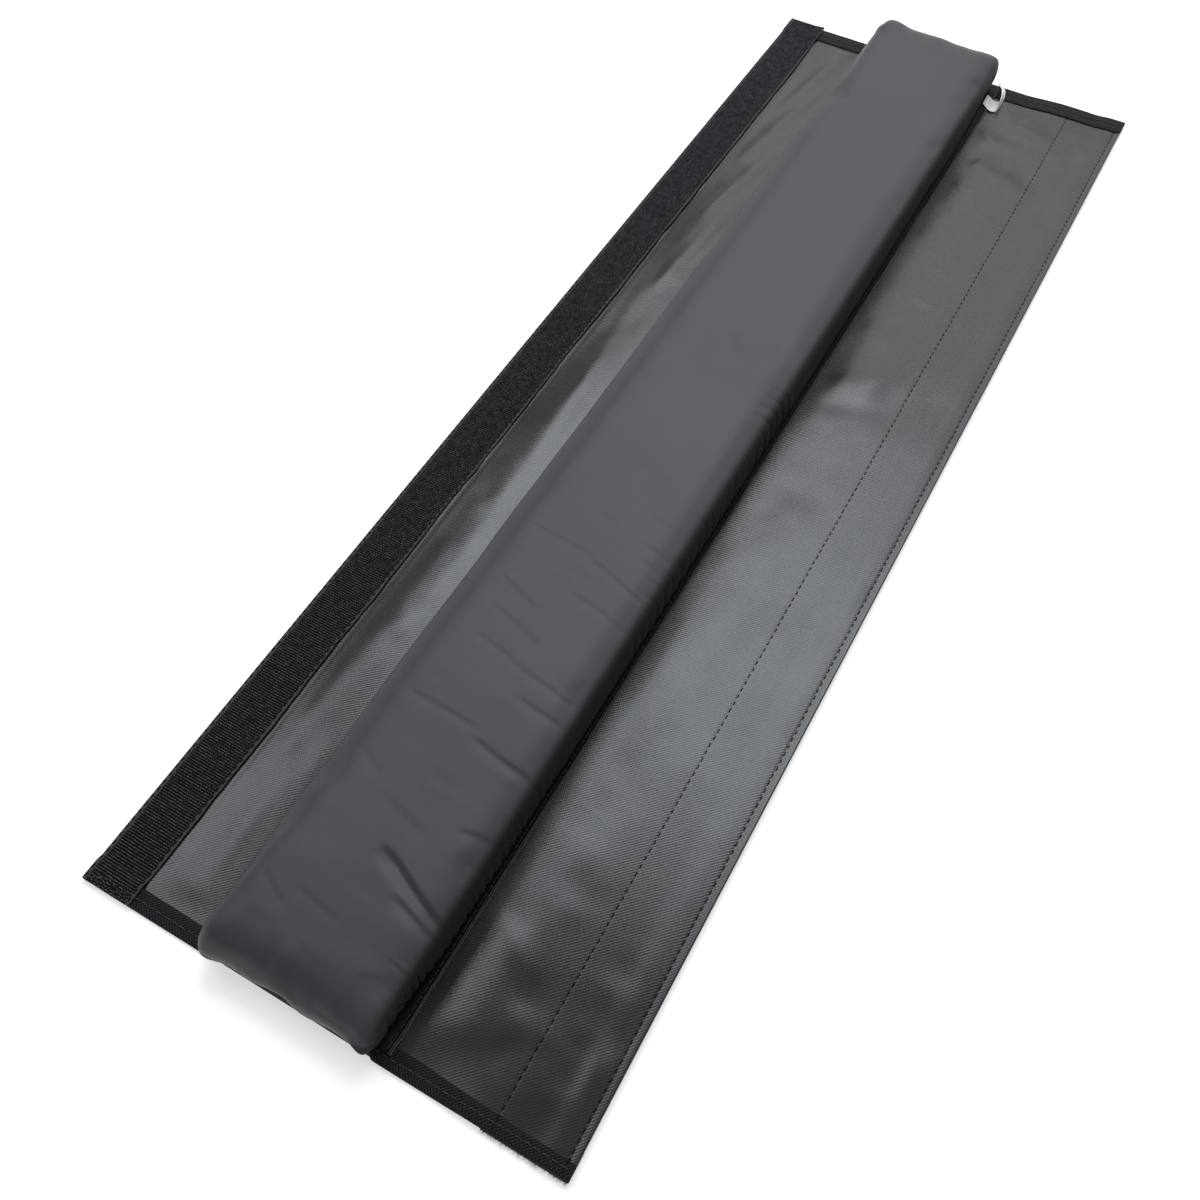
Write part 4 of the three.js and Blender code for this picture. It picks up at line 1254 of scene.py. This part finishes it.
def build_label(colours):
    """Blank ribbon, caught in the seam by both ends: a surface spanned between two smoothed edge paths,
    given a thickness along its normals."""
    edges = []
    for knots in (np.array(LABEL_INNER), np.array(LABEL_OUTER)):
        at = np.linspace(0, len(knots) - 1, 89)
        path = np.stack([np.interp(at, np.arange(len(knots)), knots[:, i]) for i in range(3)], -1)
        for _ in range(16):
            path[1:-1] = (path[:-2] + 2 * path[1:-1] + path[2:]) / 4
        edges.append(path)
    share = np.linspace(0, 1, 9)[None, :, None]
    middle = edges[0][:, None, :] * (1 - share) + edges[1][:, None, :] * share
    normal = np.cross(np.gradient(middle, axis=0), np.gradient(middle, axis=1))
    normal = normal / np.linalg.norm(normal, axis=-1, keepdims=True)
    points = np.concatenate([middle + 0.17 * normal, (middle - 0.17 * normal)[:, ::-1]], 1)
    flat = points.reshape(-1, 3)
    faces = outward(flat, tube_faces(len(middle), points.shape[1]))
    mesh = new_mesh("blank_label", flat, faces)
    mesh.set_sharp_from_angle(angle=math.radians(50))
    return new_piece(mesh, satin_ribbon(colours.label), ["care_label"])


def facing(place, target, upwards, roll=0.0):
    """Matrix of a lamp or a camera at a place in metres that looks at a target. Its right side is level
    across the direction upwards, before it is rolled by an angle."""
    back = np.array(place, float) - np.array(target, float)
    back = back / np.linalg.norm(back)
    level = np.cross(upwards, back)
    level = level / np.linalg.norm(level)
    up = np.cross(back, level)
    right = math.cos(roll) * level + math.sin(roll) * up
    matrix = np.identity(4)
    matrix[:3] = np.stack([right, np.cross(back, right), back, place], -1)
    return Matrix(matrix.tolist())


def build_floor(colours):
    """The paper under the pad, 8 m wide."""
    half = 4000.0
    points = np.array([(-half, -half, 0), (half, -half, 0), (half, half, 0), (-half, half, 0)])
    mesh = new_mesh("floor", points, np.array([[0, 1, 2, 3]]))
    mesh.materials.append(studio_paper(colours.floor))
    floor = bpy.data.objects.new("floor", mesh)
    bpy.context.scene.collection.objects.link(floor)


def build_world():
    """World light: a dim ceiling and, below about 25 degrees, a white backdrop that the camera sees, and
    that gloss and glass show too."""
    world = bpy.data.worlds.new("studio_world")
    bpy.context.scene.world = world
    world.use_nodes = True
    tree = world.node_tree
    tree.nodes.clear()
    direction = add_node(tree, "TexCoord", output="Generated")
    height = add_node(tree, "SeparateXYZ", direction, output="Z")
    low = add_node(tree, "MapRange", height, 0.3, 0.5, 1.0, 0.0)
    seen = add_node(tree, "Math", seen_directly(tree), low, operation="MULTIPLY")
    light = add_node(tree, "Background", tone((1, 1, 1), 1), 0.30)
    white = add_node(tree, "Background", tone((1, 1, 1), 1), 1.0)
    add_node(tree, "OutputWorld", add_node(tree, "MixShader", seen, light, white), output=None)


def soft_light(name, place, target, wide, deep, radiance):
    """A rectangular lamp with the same brightness all over, turned to a point."""
    data = bpy.data.lights.new(name, "AREA")
    data.shape = "RECTANGLE"
    data.size = wide
    data.size_y = deep
    data.energy = radiance * math.pi * wide * deep
    lamp = bpy.data.objects.new(name, data)
    lamp.matrix_world = facing(place, target, (0, 1, 0))
    bpy.context.scene.collection.objects.link(lamp)


def build_camera():
    """The camera at the photograph's angle."""
    data = bpy.data.cameras.new("camera")
    data.lens = 36
    data.sensor_width = 36
    data.clip_start = 0.01
    camera = bpy.data.objects.new("camera", data)
    camera.matrix_world = facing(CAMERA_PLACE, CAMERA_TARGET, (0, 0, 1), CAMERA_ROLL)
    bpy.context.scene.collection.objects.link(camera)
    bpy.context.scene.camera = camera


def build_stage(colours):
    """Floor, world light, three large soft lights over the pad, and the camera."""
    build_floor(colours)
    build_world()
    soft_light("soft_light_over", (-0.245, 0.58, 1.2), (-0.245, 0.43, 0), 0.87, 0.76, 5.5)
    soft_light("soft_light_left", (-0.76, -0.06, 1.2), (-0.5, -0.06, 0), 0.5, 0.54, 4.0)
    soft_light("soft_light_far", (-0.2, 1.7, 1.3), (0, 0.2, 0), 1.6, 0.9, 1.7)
    build_camera()
    bpy.context.scene.view_settings.view_transform = "Standard"


class RoofRackPadSizes(bpy.types.PropertyGroup):
    """Sizes that a user may change, in millimetres."""
    wave_height: bpy.props.FloatProperty(
        name="Wave height", description="Height of the low waves in the cover's free bands, in mm",
        default=2.2, min=0)
    hook_pitch: bpy.props.FloatProperty(
        name="Hook pitch", description="Distance between two rows of hooks, in mm", default=1.26, min=0.8)
    swell: bpy.props.FloatProperty(
        name="Swell", description="Furthest that a point of the padding moves in the simulation, in mm",
        default=4.0, min=0)
    pucker_depth: bpy.props.FloatProperty(
        name="Pucker depth", description="Depth of the puckers beside the sleeve's seam, in mm",
        default=1.9, min=0)
    wrinkle_depth: bpy.props.FloatProperty(
        name="Wrinkle depth", description="Scale of the wrinkles on the padding's top", subtype="FACTOR",
        default=1.0, min=0)
    stitch_pitch: bpy.props.FloatProperty(
        name="Stitch pitch", description="Length of one stitch with its gap, in mm", default=4.04, min=1)
    thread_width: bpy.props.FloatProperty(
        name="Thread width", description="Thickness of the sewing thread, in mm", default=0.62, min=0.1)
    fibre_length: bpy.props.FloatProperty(
        name="Fibre length", description="Longest loose fibre of the loop tape, in mm", default=2.0, min=0)


def colour_property(name, description, text):
    """A colour in the panel, which starts as an sRGB hex colour."""
    return bpy.props.FloatVectorProperty(
        name=name, description=description, subtype="COLOR", size=3, min=0, max=1, default=linear(text))


class RoofRackPadColours(bpy.types.PropertyGroup):
    """Colours that a user may change."""
    cover: colour_property("Cover", "Coated twill of the cover", "#1e1f22")
    sleeve: colour_property("Sleeve", "Nylon of the padded sleeve", "#37383d")
    # Painted light: the flange, of the sleeve's cloth, is painted near black as painted shade of the
    # padding, and its cut edge gets a painted highlight
    flange: colour_property("Flange", "Doubled edge of the sleeve", "#0e0e10")
    flange_edge_highlight: colour_property("Flange edge", "Cut edge of the sleeve beside the seam", "#66686e")
    tape: colour_property("Tape ground", "Woven ground of the hook tape", "#08080a")
    selvage: colour_property("Selvage", "Plain edges of the hook tape", "#45464a")
    # Painted highlight: the black nylon hooks are given a light grey colour for their glints
    hooks: colour_property("Hooks", "Hooks of the hook tape", "#747880")
    loops: colour_property("Loops", "Pile of the loop tape", "#17181a")
    binding: colour_property("Binding", "Binding tape of the two ends", "#17191c")
    thread: colour_property("Thread", "Sewing thread", "#08080a")
    binding_thread: colour_property("Grey thread", "Thread of the bindings and the seam", "#3c3d41")
    thread_glint: colour_property("Thread glint", "Bent ends of the stitches", "#8c8d90")
    foam: colour_property("Foam", "Foam inside the sleeve", "#2d2e30")
    label: colour_property("Label", "Blank ribbon label", "#f4f4f2")
    floor: colour_property("Floor", "Paper under the pad", "#f2f2f0")


def settings_of(context):
    """The sizes and the colours that the panel shows."""
    return context.scene.roof_rack_pad_sizes, context.scene.roof_rack_pad_colours


class ROOFPAD_OT_stage(bpy.types.Operator):
    """Adds the floor, the lights and the camera"""
    bl_idname = "roofpad.stage"
    bl_label = "Stage"

    def execute(self, context):
        build_stage(settings_of(context)[1])
        return {"FINISHED"}


class ROOFPAD_OT_cover(bpy.types.Operator):
    """Adds the coated cover with its folded hem"""
    bl_idname = "roofpad.cover"
    bl_label = "Cover"

    def execute(self, context):
        build_cover(*settings_of(context))
        return {"FINISHED"}


class ROOFPAD_OT_hook_tape(bpy.types.Operator):
    """Adds the hook tape's ground and its rows of hooks"""
    bl_idname = "roofpad.hook_tape"
    bl_label = "Hook tape"

    def execute(self, context):
        build_hook_tape(*settings_of(context))
        build_hooks(*settings_of(context))
        return {"FINISHED"}


class ROOFPAD_OT_loop_tape(bpy.types.Operator):
    """Adds the loop tape and its loose fibres"""
    bl_idname = "roofpad.loop_tape"
    bl_label = "Loop tape"

    def execute(self, context):
        build_loop_tape(*settings_of(context))
        build_loop_fuzz(*settings_of(context))
        return {"FINISHED"}


class ROOFPAD_OT_bindings(bpy.types.Operator):
    """Adds the binding tape round both ends"""
    bl_idname = "roofpad.bindings"
    bl_label = "Bindings"

    def execute(self, context):
        colours = settings_of(context)[1]
        build_binding(-1, colours)
        build_binding(1, colours)
        return {"FINISHED"}


class ROOFPAD_OT_padding(bpy.types.Operator):
    """Adds the foam, the padded sleeve round it and the sleeve's flange"""
    bl_idname = "roofpad.padding"
    bl_label = "Padding"

    def execute(self, context):
        sizes, colours = settings_of(context)
        build_foam(colours)
        build_padding(sizes, colours)
        build_flange(colours)
        return {"FINISHED"}


class ROOFPAD_OT_stitches(bpy.types.Operator):
    """Adds every stitch row"""
    bl_idname = "roofpad.stitches"
    bl_label = "Stitches"

    def execute(self, context):
        build_stitches(*settings_of(context))
        return {"FINISHED"}


class ROOFPAD_OT_label(bpy.types.Operator):
    """Adds the blank ribbon label"""
    bl_idname = "roofpad.label"
    bl_label = "Label"

    def execute(self, context):
        build_label(settings_of(context)[1])
        return {"FINISHED"}


class ROOFPAD_OT_declare_sheet(bpy.types.Operator):
    bl_idname = "roofpad.declare_sheet"
    bl_label = "Declare the sheet"

    def execute(self, context):
        return {"FINISHED"}


OPERATORS = (
    ROOFPAD_OT_stage, ROOFPAD_OT_cover, ROOFPAD_OT_hook_tape, ROOFPAD_OT_loop_tape, ROOFPAD_OT_bindings,
    ROOFPAD_OT_padding, ROOFPAD_OT_stitches, ROOFPAD_OT_label, ROOFPAD_OT_declare_sheet,
)


class ROOFPAD_PT_panel(bpy.types.Panel):
    """Sizes, colours and the steps that build the pad"""
    bl_idname = "ROOFPAD_PT_panel"
    bl_label = "Roof Rack Pad"
    bl_space_type = "VIEW_3D"
    bl_region_type = "UI"
    bl_category = "Roof Rack Pad"

    def draw(self, context):
        for group in settings_of(context):
            box = self.layout.box()
            for key in group.__annotations__:
                box.prop(group, key)
        for operator in OPERATORS:
            self.layout.operator(operator.bl_idname)


CLASSES = (RoofRackPadSizes, RoofRackPadColours, *OPERATORS, ROOFPAD_PT_panel)


def register():
    for item in CLASSES:
        bpy.utils.register_class(item)
    bpy.types.Scene.roof_rack_pad_sizes = bpy.props.PointerProperty(type=RoofRackPadSizes)
    bpy.types.Scene.roof_rack_pad_colours = bpy.props.PointerProperty(type=RoofRackPadColours)


def unregister():
    del bpy.types.Scene.roof_rack_pad_colours
    del bpy.types.Scene.roof_rack_pad_sizes
    for item in reversed(CLASSES):
        bpy.utils.unregister_class(item)


def main():
    register()
    bpy.ops.roofpad.stage()
    bpy.ops.roofpad.cover()
    bpy.ops.roofpad.hook_tape()
    bpy.ops.roofpad.loop_tape()
    bpy.ops.roofpad.bindings()
    bpy.ops.roofpad.padding()
    bpy.ops.roofpad.stitches()
    bpy.ops.roofpad.label()
    bpy.ops.roofpad.declare_sheet()


if __name__ == "__main__":
    main()
